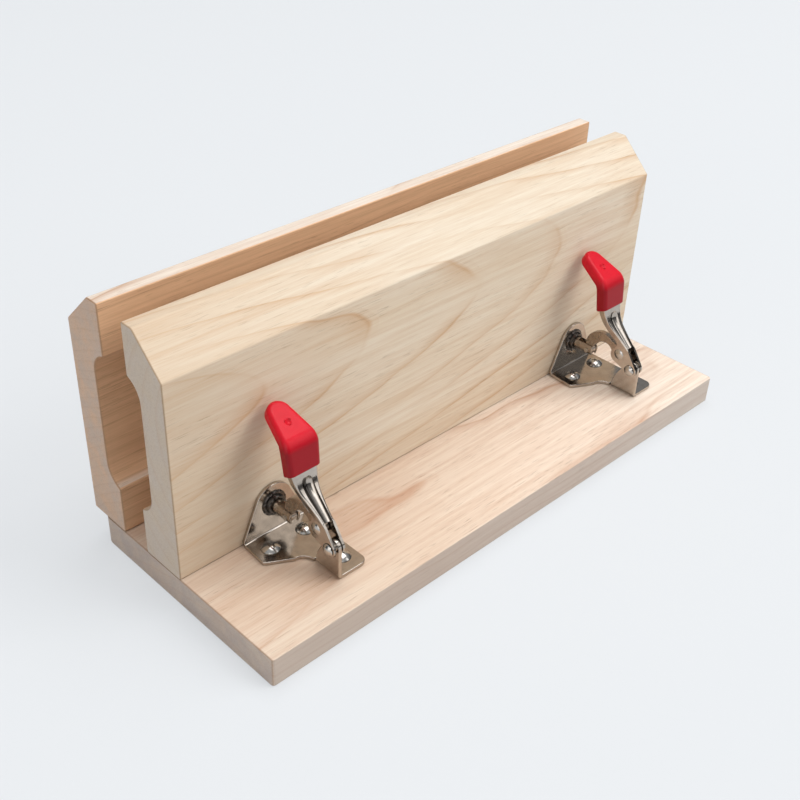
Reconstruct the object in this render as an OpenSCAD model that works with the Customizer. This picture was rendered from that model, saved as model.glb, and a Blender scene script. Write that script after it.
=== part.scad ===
// Leather stitching pony clamp
// A fixed front jaw and a sliding rear jaw on a flat base board, drawn together by two
// push-pull toggle clamps. It is drawn open, as it stands before the leather goes in.
// Origin: the middle of the underside of the base board. +X runs along the jaws,
// +Y points from the clamps to the rear jaw and +Z points up.

/* [Base board] */
// Length of the base board and of both jaws
base_l = 410; // [360:1:480]
// Depth of the base board, front edge to back edge
base_d = 160; // [154:1:200]
// Thickness of the base board
base_t = 20; // [17:0.5:30]
// Eased corner along the long edges of the wood
wood_ease = 1; // [0.4:0.1:2]

/* [Jaws] */
// From the front edge of the base board to the outer face of the front jaw
jaw_setback = 81.5; // [78:0.5:90]
// Thickness of each jaw
jaw_t = 32.5; // [29:0.5:40]
// Height of each jaw
jaw_h = 153.5; // [140:0.5:180]
// Width of the flat land along the top of each jaw
top_land = 9.5; // [6:0.5:14]
// Height of the sloped face that runs up to the land
bevel_h = 22; // [14:0.5:30]
// Depth of the hollow in the inner face of each jaw
hollow_depth = 10.5; // [7:0.5:12]
// Height of the solid foot below the hollow
foot_h = 32; // [30:0.5:38]
// Height of the gripping head above the hollow
head_h = 32.5; // [26:0.5:42]
// Radius of the coves at both ends of the hollow
cove_r = 14; // [12.5:0.5:18]
// Gap that is left between the heads when the jaws are closed
closed_gap = 0.35; // [0.3:0.05:4]
// Clearance between the sliding jaw and the base board
slide_clear = 0.4; // [0.3:0.05:1]

/* [Toggle clamps] */
// Distance between the two clamps, centre to centre
clamp_spacing = 278; // [220:1:310]
// Thickness of the bracket's sheet steel
sheet_t = 2.5; // [2:0.1:3]
// Height of the plunger's axis above the base board
plunger_h = 22; // [20:0.25:24]
// Diameter of the plunger
plunger_d = 8.6; // [8:0.1:9.4]
// Length of the plunger behind the jaw's outer face
plunger_back = 26.5; // [24:0.5:31]
// Length of the plunger's fork beyond its pin
fork_end = 4; // [3.2:0.1:5]
// From the jaw's outer face to the plunger's pin
pin_out = 17.3; // [16.5:0.1:18.5]
// Height of the lever's pivot above the plunger's axis, which locks the clamp over centre
over_centre = 0.4; // [0.2:0.05:0.8]
// From the jaw's outer face to the lever's pivot
pivot_out = 54.8; // [53:0.2:57]
// Distance between the lever's pivot and the crank pin
crank_r = 13.4; // [12.6:0.1:14]
// Angle of the crank above the plunger's axis when the clamp is open
crank_angle = 40; // [36:0.5:46]

/* [Bracket] */
// Width of the flange where it meets the base board
flange_w = 45; // [42:0.5:50]
// Radius of the flange's round top, about the plunger's axis
flange_r = 13.3; // [11.5:0.1:15]
// Length of the wide part of the sole on its open side
sole_side = 22.8; // [21:0.2:25]
// Radius of the hollow neck between the sole and the ear
neck_r = 8; // [7:0.2:9]
// Length of the ear along the base board
ear_l = 20.8; // [19.6:0.2:22]
// Radius of the ear's round top
ear_r = 4.7; // [4.2:0.1:5]
// Radius of the foot's outer corner
foot_corner_r = 5; // [3:0.2:7]
// Inside radius of the sheet's bends
bend_r = 1.5; // [0.8:0.1:2]
// Outer diameter of the guide collar
collar_d = 17; // [15:0.5:19]
// Height of the guide collar in front of the flange
collar_h = 3.4; // [2.4:0.1:4.4]
// Outer diameter of the collar's barrel
collar_barrel_d = 12.8; // [12:0.2:14.4]
// Diameter of the collar's neck, which passes through the flange
collar_neck_d = 12; // [11:0.2:13]

/* [Lever and link] */
// Thickness of the lever's walls and web
lever_wall = 1.6; // [1.2:0.1:2]
// Width of the gap between the lever's walls at the pivots
lever_gap = 5; // [4.6:0.1:6]
// Width of the lever where it enters the grip
lever_top_w = 18.6; // [16:0.2:20]
// Radius of the lever's walls around the pivot
pivot_eye_r = 5.2; // [4.8:0.1:5.6]
// Radius of the lever's lobes around the crank pin
crank_eye_r = 5.6; // [5.2:0.1:6]
// Angle of the lever's straight run above the level
lever_rise = 41; // [38:1:44]
// Radius of the lever's bend in front, up to the grip
lever_bend_r = 22.4; // [20:0.2:24]
// Length of the straight run of the lever's web
web_run = 15.6; // [14:0.2:17]
// Depth of the lever's channel, from the web to the walls' back edge
lever_depth = 5; // [4.4:0.1:5.6]
// Thickness of the link
link_t = 4.2; // [3.6:0.1:4.4]
// Radius of the inner arc of the link, which bridges the ear
link_inner_r = 7; // [6.6:0.1:7.4]
// Radius of the outer arc of the link
link_outer_r = 13.6; // [13:0.1:14.2]
// Radius of the link's eye at the crank pin
link_eye_r = 4.6; // [4.2:0.1:5]
// Radius of the link's foot in the plunger's fork
link_foot_r = 4; // [3.6:0.1:4.2]
// Width of the grip at its rim
grip_rim_w = 22; // [21:0.2:24]
// Width of the grip at the knee
grip_w = 23.8; // [22:0.2:26]
// Width of the grip at its round tip
grip_tip_w = 15; // [13:0.2:17]
// Thickness of the grip
grip_t = 8.9; // [8.4:0.1:10]
// Thickness of the grip's skin over the lever
grip_skin = 1.4; // [1:0.1:1.8]
// Radius of the grip's rounded edges and knee
grip_edge_r = 2.9; // [2:0.1:3.6]
// Length of the grip from its rim to the knee
grip_lower_l = 19.8; // [17:0.2:22]
// Length of the grip from the knee to the end of its tip
grip_upper_l = 28.9; // [26:0.1:30]
// Angle of the grip's upper part above the level
grip_upper_angle = 27.5; // [24:0.5:34]

/* [Rivets and screws] */
// Diameter of the pivot rivet
pivot_d = 4; // [3.4:0.1:4.6]
// Diameter of the crank rivet
crank_d = 3.6; // [3:0.1:4]
// Diameter of the plunger's pin
pin_d = 3.4; // [3:0.1:3.8]
// Diameter of the rivets' heads
rivet_head_d = 8; // [7:0.2:9]
// Height of the rivets' heads
rivet_head_h = 2; // [1.4:0.1:2.6]
// Diameter of the pivot's spacer
spacer_d = 6; // [5.2:0.1:7]
// Distance between the two screws in the sole
sole_screw_pitch = 25.8; // [23:0.2:28]
// From the jaw's outer face to the two screws in the sole
sole_screw_out = 14.5; // [13.5:0.1:16]
// From the jaw's outer face to the screw in the foot
foot_screw_out = 47; // [44:0.5:50]
// Diameter of the bracket screws' heads
screw_head_d = 11.6; // [9:0.2:12.4]
// Height of the bracket screws' heads
screw_head_h = 3; // [2.2:0.1:3.6]
// Diameter of the bracket screws' shanks
screw_d = 4.2; // [3.4:0.1:5]
// Length of the bracket screws below the sheet
screw_l = 12; // [8:0.5:15]
// Diameter of the jaw screws that come up through the base board
jaw_screw_d = 5; // [4:0.1:6]
// Length of the jaw screws
jaw_screw_l = 46; // [36:1:50]
// Number of jaw screws
jaw_screw_count = 4; // [2:1:6]
// Distance between neighbouring jaw screws
jaw_screw_pitch = 110; // [80:1:116]
// Diameter of the tie bolts
bolt_d = 6; // [5:0.1:6.4]
// Diameter of the tie bolts' heads
bolt_head_d = 11; // [10:0.2:13]
// Height of the tie bolts' heads
bolt_head_h = 3.6; // [3:0.1:5]
// Length of bolt inside the plunger
bolt_grip = 18; // [12:0.5:20]
// Outer diameter of the washers under the tie bolts' heads
washer_d = 18; // [15:0.5:20]
// Thickness of these washers
washer_t = 1.6; // [1:0.1:2]
// Outer diameter of the threaded inserts in the rear jaw
insert_d = 10; // [9:0.2:12]
// Length of the threaded inserts
insert_l = 13; // [10:0.5:16]

/* [Hidden] */
$fn = 64;

// Clearances that the moving fits share
run_fit = 0.06;
seat_fit = 0.02;
side_gap = 0.3;
bore_gap = 0.45;
cut = 0.5;
far = 100;

// Colours as the photograph shows them
maple = "#ead3ac";
peach_wood = "#e3c19a";
nickel = "#b3a898";
dark_steel = "#4a4643";
grip_red = "#d11a2c";
bright_steel = "#c9c9cc";
brass = "#c8a253";

// The two clamps stand at equal distances from the middle
LEFT = -clamp_spacing / 2;
RIGHT = clamp_spacing / 2;
jaw_face_y = -base_d / 2 + jaw_setback;

// Open and closed places of the linkage, as [y, z] from the jaw's outer face and the base top
pivot = [-pivot_out, plunger_h + over_centre];
crank = pivot + crank_r * [cos(crank_angle), sin(crank_angle)];
pin = [-pin_out, plunger_h];
link_l = norm(pin - crank);
link_angle = atan2(pin[1] - crank[1], pin[0] - crank[0]);
closed_pin_y = pivot[0] - crank_r + sqrt(link_l * link_l - over_centre * over_centre);
stroke = pin[0] - closed_pin_y;
jaw_gap = stroke + closed_gap;
rear_face_y = jaw_face_y + 2 * jaw_t + jaw_gap;

// Heights that both jaws share
hollow_top = jaw_h - head_h;
cove_rise = sqrt(cove_r * cove_r - pow(cove_r - hollow_depth, 2));

// Outside radius of the sheet's bends
bend_outer_r = bend_r + sheet_t;

// The ear stands to one side of the lever's gap and a spacer fills the other side
ear_x = lever_gap / 2 - side_gap - sheet_t;
ear_front = pivot[0] - ear_r;
ear_back = ear_front + ear_l;
ear_foot = ear_back - 0.6;
lever_half = lever_gap / 2 + lever_wall;
slot_w = link_t + 2 * side_gap;
slot_depth = fork_end + link_foot_r + 2.2;
sole_right = flange_w / 2;

// The inner arc of the link is centred close to the place that the pivot takes up when the
// clamp is closed, so that it bridges the ear
link_inner_at = crank_r + 1.2;
link_outer_at = [17.1, 0.7];

// Places on the lever and grip, as [y, z] from the pivot with the clamp open
grip_rim = [22.1, 40];
grip_rim_drop = 2.5;
grip_lower_angle = 83.5;
crank_at = crank - pivot;
lobe_at = crank_at + [1.1, -1.5];

// Directions along the grip's lower and upper part, and from its front face inward
low_dir = [cos(grip_lower_angle), sin(grip_lower_angle)];
low_normal = [low_dir[1], -low_dir[0]];
up_dir = [cos(grip_upper_angle), sin(grip_upper_angle)];
up_normal = [up_dir[1], -up_dir[0]];
// Offset to the inside of the knee, for each millimetre of depth
knee_inward = (low_normal + up_normal) / (1 + low_normal * up_normal);
knee = grip_rim + grip_lower_l * low_dir;
grip_tip = knee + grip_upper_l * up_dir;
grip_rim_back = grip_rim + grip_t * low_normal - grip_rim_drop * low_dir;

// The lever's bend runs on from its straight run into the grip
bend_top = grip_rim + grip_skin * low_normal;
bend_at = bend_top - lever_bend_r * low_normal;
bend_from = lever_rise - 90;
bend_to = grip_lower_angle - 90;
run_dir = [cos(lever_rise), sin(lever_rise)];
run_normal = [run_dir[1], -run_dir[0]];
web_end = bend_at + lever_bend_r * run_normal - web_run * run_dir;
notch = bend_at + (lever_bend_r + lever_depth) * run_normal - (web_run - 7.3) * run_dir;
tang_t = lever_wall + 0.8;

// Where the lever widens, as [height above its pivot, share of the widening]
neck_to_grip = [[16, 0], [20.5, 0.1], [27, 0.47], [33, 0.8], [38, 1]];

// Points of an arc, from angle a0 to angle a1
function arc(c, r, a0, a1, n = 10) =
    [for (i = [0 : n]) c + r * [cos(a0 + (a1 - a0) * i / n), sin(a0 + (a1 - a0) * i / n)]];
function unit(v) = v / norm(v);
// An outline with each corner cut back by c
function eased(p, c) = [for (i = [0 : len(p) - 1], s = [-1, 1])
    p[i] + c * unit(p[(i + s + len(p)) % len(p)] - p[i])];

// Outlines given as [y, z] are drawn out along X
module along_x(w) {
    rotate([90, 0, 90])
        linear_extrude(w, center = true)
            children();
}

// A cylinder along X, from x0 to x1
module pin_x(r, x0, x1) {
    translate([x0, 0, 0])
        rotate([0, 90, 0])
            cylinder(r = r, h = x1 - x0);
}

// A cylinder along Y, from y0 to y1
module rod_y(r, y0, y1) {
    translate([0, y1, 0])
        rotate([90, 0, 0])
            cylinder(r = r, h = y1 - y0);
}

// A shallow dome that stands on the XY plane
module dome(d, h) {
    ball = (d * d / 4 + h * h) / (2 * h);
    intersection() {
        translate([0, 0, h - ball])
            sphere(r = ball, $fn = 96);
        cylinder(d = d, h = h + cut);
    }
}

// Frame of one clamp: the jaw's outer face, the base top and the clamp's middle plane
module at_clamp(x) {
    translate([x, jaw_face_y, base_t])
        children();
}

// Places [y, z] in the frame of one clamp
module at_yz(p) {
    translate([0, p[0], p[1]])
        children();
}

// Places of the jaw screws and of the bracket screws
module each_jaw_screw() {
    for (i = [0 : jaw_screw_count - 1])
        translate([(i - (jaw_screw_count - 1) / 2) * jaw_screw_pitch, jaw_face_y + jaw_t / 2, 0])
            children();
}

module each_bracket_screw() {
    for (x = [-1, 1] * sole_screw_pitch / 2)
        translate([x, -sole_screw_out, 0])
            children();
    translate([sole_screw_pitch / 2, -foot_screw_out, 0])
        children();
}

module base_board() {
    color(peach_wood)
    difference() {
        translate([0, -base_d / 2, 0])
            along_x(base_l)
                polygon(eased([[0, 0], [base_d, 0], [base_d, base_t], [0, base_t]], wood_ease));
        each_jaw_screw()
            jaw_screw(seat_fit);
        for (x = [LEFT, RIGHT])
            at_clamp(x)
                each_bracket_screw()
                    translate([0, 0, -screw_l - cut])
                        cylinder(d = screw_d + 2 * seat_fit, h = screw_l + 2 * cut);
    }
}

// A countersunk wood screw with its head flush with the underside of the base board
module jaw_screw(fit = 0) {
    cylinder(r = jaw_screw_d / 2 + fit, h = jaw_screw_l);
    cylinder(r1 = jaw_screw_d + fit, r2 = jaw_screw_d / 2 + fit, h = jaw_screw_d / 2);
}

module jaw_screws() {
    color(bright_steel)
    each_jaw_screw()
        difference() {
            jaw_screw();
            for (a = [0, 90])
                rotate([0, 0, a])
                    translate([-jaw_screw_d / 2, -0.5, -cut])
                        cube([jaw_screw_d, 1, 1.6 + cut]);
        }
}

// One jaw, with its outer face at y = 0 and its inner face at y = jaw_t
module jaw_body() {
    outline = [[0, 0], [0, jaw_h - bevel_h], [jaw_t - top_land, jaw_h], [jaw_t, jaw_h], [jaw_t, 0]];
    hollow_y = jaw_t - hollow_depth;
    along_x(base_l)
        difference() {
            polygon(eased(outline, wood_ease));
            translate([hollow_y, foot_h + cove_rise])
                square([hollow_depth + cut, hollow_top - foot_h - 2 * cove_rise]);
            for (z = [foot_h + cove_rise, hollow_top - cove_rise])
                translate([hollow_y + cove_r, z])
                    circle(r = cove_r, $fn = 128);
        }
}

module front_jaw() {
    color(maple)
    difference() {
        translate([0, jaw_face_y, base_t])
            jaw_body();
        each_jaw_screw()
            jaw_screw(seat_fit);
        for (x = [LEFT, RIGHT])
            at_clamp(x)
                at_yz([0, plunger_h])
                    rod_y(plunger_d / 2 + bore_gap, -cut, jaw_t + cut);
    }
}

module rear_jaw() {
    color(maple)
    difference() {
        translate([0, rear_face_y, base_t + slide_clear])
            mirror([0, 1, 0])
                jaw_body();
        for (x = [LEFT, RIGHT])
            at_rear_bolt(x) {
                rod_y(bolt_d / 2 + run_fit, -jaw_t - cut, cut);
                rod_y(insert_d / 2 + seat_fit, -jaw_t - cut, insert_l - jaw_t);
                rod_y(washer_d / 2 + bore_gap, -washer_t - bolt_head_h - cut, cut);
            }
    }
}

// Frame of one tie bolt, on the outer face of the rear jaw
module at_rear_bolt(x) {
    translate([x, rear_face_y, base_t + plunger_h])
        children();
}

// Sheet bent from the floor up: it lies along the first axis up to reach, and stands at 0
module bent_sheet(reach) {
    difference() {
        union() {
            translate([0, bend_outer_r])
                square([sheet_t, far]);
            translate([bend_outer_r, 0])
                square([reach - bend_outer_r, sheet_t]);
            intersection() {
                translate([bend_outer_r, bend_outer_r])
                    circle(r = bend_outer_r);
                square(bend_outer_r);
            }
        }
        translate([bend_outer_r, bend_outer_r])
            circle(r = bend_r);
    }
}

// Outline of the flange, as [x, z]: straight sides that run up onto a round top
module flange_outline() {
    corner = [flange_w / 2, bend_outer_r];
    axis = [0, plunger_h];
    to_corner = corner - axis;
    side = atan2(to_corner[1], to_corner[0]) + acos(flange_r / norm(to_corner));
    polygon(concat([[flange_w / 2, 0], corner],
        arc(axis, flange_r, side, 180 - side, 32),
        [[-corner[0], corner[1]], [-corner[0], 0]]));
}

// Outline of the sole, as [x, y], from the jaw to the foot
module sole_outline() {
    neck_x = ear_x - neck_r;
    side_x = -flange_w / 2 - 1.8;
    neck_top = ear_back + neck_r;
    polygon(concat([[-flange_w / 2, 0], [side_x, 1.5 - sole_side], [side_x + 1.5, -sole_side]],
        arc([neck_x, ear_back], neck_r, 90, 0),
        [[ear_x, ear_front]],
        arc([sole_right - foot_corner_r, ear_front + foot_corner_r], foot_corner_r, 270, 360),
        [[sole_right, 0]]));
}

// Outline of the ear, as [y, z], with its round top about the pivot
module ear_outline() {
    shoulder = [ear_back - 2.4, pivot[1] - 12.4];
    neck = [ear_back - 5.4, pivot[1] - 6.6];
    to_neck = neck - pivot;
    touch = atan2(to_neck[1], to_neck[0]) + acos(ear_r / norm(to_neck));
    polygon(concat([[ear_front, 0]], arc(pivot, ear_r, 180, touch, 24),
        [neck, shoulder, [ear_foot, 0]]));
}

// The sole and the flange, bent from one sheet along the jaw
module sole_and_flange() {
    intersection() {
        along_x(2 * far)
            mirror([1, 0])
                bent_sheet(pivot_out + ear_r);
        union() {
            translate([0, cut, 0])
                rotate([90, 0, 0])
                    linear_extrude(bend_outer_r + cut)
                        flange_outline();
            linear_extrude(sheet_t)
                sole_outline();
        }
    }
}

// The ear, bent up from the sole's inner side
module ear() {
    intersection() {
        translate([ear_x, ear_foot, 0])
            rotate([90, 0, 0])
                linear_extrude(ear_foot - ear_front)
                    bent_sheet(bend_outer_r + cut);
        along_x(2 * far)
            ear_outline();
    }
}

module bracket() {
    color(nickel)
    difference() {
        union() {
            difference() {
                sole_and_flange();
                translate([ear_x - cut, ear_front - cut, -cut])
                    cube([bend_outer_r + cut, ear_foot - ear_front + cut, sheet_t + 2 * cut]);
            }
            ear();
        }
        at_yz([0, plunger_h])
            rod_y(collar_neck_d / 2 + seat_fit, -sheet_t - cut, cut);
        at_yz(pivot)
            pin_x(pivot_d / 2 + seat_fit, ear_x - cut, ear_x + sheet_t + cut);
        each_bracket_screw()
            translate([0, 0, -cut])
                cylinder(d = screw_d + 2 * seat_fit, h = sheet_t + 2 * cut);
    }
}

// The collar that guides the plunger: a barrel with a rim on the flange and a neck through it
module collar() {
    bore_r = plunger_d / 2 + run_fit;
    front = sheet_t + collar_h;
    color(dark_steel)
    at_yz([0, plunger_h])
        rotate([90, 0, 0])
            rotate_extrude($fn = 96)
                polygon([[bore_r, 0], [collar_neck_d / 2, 0], [collar_neck_d / 2, sheet_t],
                    [collar_d / 2, sheet_t], [collar_d / 2, sheet_t + 0.7],
                    [collar_d / 2 - 0.5, sheet_t + 1.2], [collar_barrel_d / 2, sheet_t + 1.2],
                    [collar_barrel_d / 2, front - 0.5], [collar_barrel_d / 2 - 0.5, front],
                    [bore_r + 0.4, front], [bore_r, front - 0.4]]);
}

module bracket_screws() {
    cross = screw_head_d * 0.42;
    color(bright_steel)
    each_bracket_screw()
        translate([0, 0, sheet_t])
            difference() {
                union() {
                    dome(screw_head_d, screw_head_h);
                    translate([0, 0, -screw_l - sheet_t])
                        cylinder(d = screw_d, h = screw_l + sheet_t + cut);
                }
                for (a = [45, 135])
                    rotate([0, 0, a])
                        translate([-cross / 2, -0.55, screw_head_h - 1.4])
                            cube([cross, 1.1, 1.4 + cut]);
            }
}

// A rivet along X that holds two outer faces at +-half together
module rivet(d, half) {
    pin_x(d / 2, -half - cut, half + cut);
    for (side = [-1, 1])
        translate([side * half, 0, 0])
            rotate([0, side * 90, 0])
                dome(rivet_head_d, rivet_head_h);
}

module pivot_rivet() {
    color(bright_steel)
    at_yz(pivot)
        rivet(pivot_d, lever_half + side_gap);
}

module crank_rivet() {
    color(bright_steel)
    at_yz(crank)
        rivet(crank_d, lever_half);
}

module pivot_spacer() {
    color(bright_steel)
    at_yz(pivot)
        difference() {
            pin_x(spacer_d / 2, side_gap - lever_gap / 2, ear_x);
            pin_x(pivot_d / 2 + seat_fit, -far / 2, far / 2);
        }
}

// Outline of the lever, as [y, z] from the pivot: its walls filled in, and the tang that
// carries the grip
module lever_outline() {
    back_r = lever_bend_r + lever_depth;
    skin = grip_skin * knee_inward;
    tang_l = grip_upper_l - 9;
    polygon(concat(
        arc([0, 0], pivot_eye_r, 147, 348, 28),
        arc(lobe_at, crank_eye_r, -80, 60, 20),
        [notch],
        arc(bend_at, back_r, bend_from, bend_to - 5),
        [bend_top + lever_depth * low_normal + 2.2 * low_dir,
            bend_top + tang_t * low_normal + 4 * low_dir,
            knee + (grip_skin + tang_t) * knee_inward,
            knee + skin + tang_l * up_dir + tang_t * up_normal,
            knee + skin + tang_l * up_dir,
            knee + skin],
        arc(bend_at, lever_bend_r, bend_to, bend_from),
        [web_end]));
}

// Outline of the lever seen from the front, as [x, z] from the pivot, drawn in by t
module lever_front_outline(t) {
    gain = lever_top_w / 2 - lever_half;
    edge = [for (p = neck_to_grip) [lever_half + gain * p[1] - t, p[0]]];
    bottom = [lever_half - t, -far];
    top = [lever_top_w / 2 - t, far];
    half = concat([bottom], edge, [top]);
    polygon(concat(half, [for (i = [len(half) - 1 : -1 : 0]) [-half[i][0], half[i][1]]]));
}

module from_front(t) {
    translate([0, far, 0])
        rotate([90, 0, 0])
            linear_extrude(2 * far)
                lever_front_outline(t);
}

// Outline of the tang seen from above, as [x, y] from the pivot: it follows the grip's taper
module tang_plan() {
    tip_r = grip_tip_w / 2 - grip_skin;
    side = grip_w / 2 - grip_skin;
    polygon(concat([[-side, -far], [side, -far], [side, knee[0]]],
        arc([0, grip_tip[0] - grip_tip_w / 2], tip_r, 10, 170, 16),
        [[-side, knee[0]]]));
}

// The lever without its channel and bores
module lever_blank() {
    intersection() {
        along_x(far)
            lever_outline();
        from_front(0);
        translate([0, 0, -far])
            linear_extrude(3 * far)
                tang_plan();
    }
}

// The space inside the lever's channel, open to the back and below the end of the web
module lever_channel() {
    inner_r = lever_bend_r + lever_wall;
    roof = bend_at + inner_r * low_normal;
    inner_end = web_end + lever_wall * run_normal;
    intersection() {
        along_x(far)
            polygon(concat([roof + far * low_normal], arc(bend_at, inner_r, bend_to, bend_from),
                [inner_end, inner_end - far * run_normal, [-far, -far], [far, -far]]));
        from_front(lever_wall);
    }
}

module lever() {
    color(nickel)
    at_yz(pivot)
        difference() {
            lever_blank();
            lever_channel();
            pin_x(pivot_d / 2 + run_fit, -far, far);
            at_yz(crank_at)
                pin_x(crank_d / 2 + seat_fit, -far, far);
        }
}

// A rounded corner of the grip, half a width w to one side and at p = [y, z]
module grip_corner(w, p) {
    translate([w, p[0], p[1]])
        sphere(r = grip_edge_r, $fn = 16);
}

// The grip's corners at the front and the back of its rim, of its knee and of its tip
module grip_rim_corners() {
    for (side = [-1, 1], depth = [grip_edge_r, grip_t - grip_edge_r])
        grip_corner(side * (grip_rim_w / 2 - grip_edge_r),
            grip_rim + depth * low_normal - (grip_rim_drop + grip_edge_r) * low_dir);
}

module grip_knee_corners() {
    for (side = [-1, 1], depth = [grip_edge_r, grip_t - grip_edge_r])
        grip_corner(side * (grip_w / 2 - grip_edge_r), knee + depth * knee_inward);
}

module grip_tip_corners() {
    reach = grip_tip_w / 2 - grip_edge_r;
    for (a = [-90 : 30 : 90], depth = [grip_edge_r, grip_t - grip_edge_r])
        grip_corner(reach * sin(a),
            grip_tip + depth * up_normal + (reach * cos(a) - grip_tip_w / 2) * up_dir);
}

// What is cut off below the grip's rim, as [y, z]
module below_rim() {
    level = unit(grip_rim_back - grip_rim);
    front = grip_rim - far / 2 * level;
    back = grip_rim + far / 2 * level;
    polygon([front, back, back - far * low_dir, front - far * low_dir]);
}

module grip() {
    color(grip_red)
    at_yz(pivot)
        difference() {
            union() {
                hull() {
                    grip_rim_corners();
                    grip_knee_corners();
                }
                hull() {
                    grip_knee_corners();
                    grip_tip_corners();
                }
            }
            along_x(far)
                below_rim();
            lever_blank();
        }
}

// Outline of the link, along its line from the crank pin: an eye, an arch and a foot
module link_outline() {
    foot = [link_l, 0];
    polygon(concat(
        arc([0, 0], link_eye_r, 95, 280, 20),
        arc([link_inner_at, 0], link_inner_r, 188, 60, 24),
        [foot + [-1.5, 0.85] * link_foot_r],
        arc(foot, link_foot_r, 160, 375, 24),
        arc(link_outer_at, link_outer_r, 14, 146, 28)));
}

// The link from the crank pin to the plunger's pin, arched to bridge the ear and its pivot
module link() {
    color(nickel)
    at_yz(crank)
        rotate([link_angle, 0, 0])
            difference() {
                along_x(link_t)
                    link_outline();
                pin_x(crank_d / 2 + run_fit, -far, far);
                at_yz([link_l, 0])
                    pin_x(pin_d / 2 + run_fit, -far, far);
            }
}

// The plunger: a round rod with a fork for the link in front and a tapped hole behind
module plunger() {
    fork_y = pin[0] - fork_end;
    color(nickel)
    at_yz([0, plunger_h])
        difference() {
            intersection() {
                rod_y(plunger_d / 2, fork_y, plunger_back);
                rotate([90, 0, 0])
                    rotate_extrude()
                        polygon([[0, -plunger_back], [plunger_d / 2, -plunger_back],
                            [plunger_d / 2, -fork_y - 0.6], [plunger_d / 2 - 0.6, -fork_y], [0, -fork_y]]);
            }
            translate([-slot_w / 2, fork_y - cut, -plunger_d])
                cube([slot_w, slot_depth + cut, 2 * plunger_d]);
            translate([0, pin[0], 0])
                pin_x(pin_d / 2 + seat_fit, -plunger_d, plunger_d);
            rod_y(bolt_d / 2 + seat_fit, plunger_back - bolt_grip, plunger_back + cut);
        }
}

// The plunger's pin shows at both sides of the fork and leaves the link's foot free
module plunger_pin() {
    color(bright_steel)
    at_yz(pin)
        for (side = [0, 180])
            rotate([0, 0, side])
                pin_x(pin_d / 2, slot_w / 2, plunger_d / 2 + 0.3);
}

// The bolt that ties the plunger to the rear jaw, with a socket in its round head
module tie_bolt() {
    shank_end = rear_face_y - jaw_face_y - plunger_back + bolt_grip;
    head_y = -bolt_head_h - cut;
    color(bright_steel)
    difference() {
        union() {
            rod_y(bolt_d / 2, -shank_end, head_y + cut);
            translate([0, head_y, 0])
                rotate([-90, 0, 0])
                    dome(bolt_head_d, bolt_head_h);
        }
        translate([0, head_y + bolt_head_h - 2, 0])
            rotate([-90, 0, 0])
                cylinder(d = bolt_d * 0.75, h = 2 + cut, $fn = 6);
    }
}

module washer() {
    seat_y = -washer_t - bolt_head_h - cut;
    color(bright_steel)
    difference() {
        rod_y(washer_d / 2, seat_y, seat_y + washer_t);
        rod_y(bolt_d / 2 + seat_fit, -far, far);
    }
}

// The threaded insert, flush with the inner face of the rear jaw
module insert() {
    color(brass)
    difference() {
        rod_y(insert_d / 2, -jaw_t, insert_l - jaw_t);
        rod_y(bolt_d / 2 + seat_fit, -far, far);
    }
}

base_board();
front_jaw();
jaw_screws();
rear_jaw();
at_clamp(LEFT) bracket();  // left_bracket
at_clamp(LEFT) collar();  // left_collar
at_clamp(LEFT) bracket_screws();  // left_bracket_screws
at_clamp(LEFT) pivot_rivet();  // left_pivot_rivet
at_clamp(LEFT) pivot_spacer();  // left_pivot_spacer
at_clamp(LEFT) lever();  // left_lever
at_clamp(LEFT) grip();  // left_grip
at_clamp(LEFT) crank_rivet();  // left_crank_rivet
at_clamp(LEFT) link();  // left_link
at_clamp(LEFT) plunger();  // left_plunger
at_clamp(LEFT) plunger_pin();  // left_plunger_pin
at_rear_bolt(LEFT) tie_bolt();  // left_tie_bolt
at_rear_bolt(LEFT) washer();  // left_washer
at_rear_bolt(LEFT) insert();  // left_insert
at_clamp(RIGHT) bracket();  // right_bracket
at_clamp(RIGHT) collar();  // right_collar
at_clamp(RIGHT) bracket_screws();  // right_bracket_screws
at_clamp(RIGHT) pivot_rivet();  // right_pivot_rivet
at_clamp(RIGHT) pivot_spacer();  // right_pivot_spacer
at_clamp(RIGHT) lever();  // right_lever
at_clamp(RIGHT) grip();  // right_grip
at_clamp(RIGHT) crank_rivet();  // right_crank_rivet
at_clamp(RIGHT) link();  // right_link
at_clamp(RIGHT) plunger();  // right_plunger
at_clamp(RIGHT) plunger_pin();  // right_plunger_pin
at_rear_bolt(RIGHT) tie_bolt();  // right_tie_bolt
at_rear_bolt(RIGHT) washer();  // right_washer
at_rear_bolt(RIGHT) insert();  // right_insert
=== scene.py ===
# %% [markdown]
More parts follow.
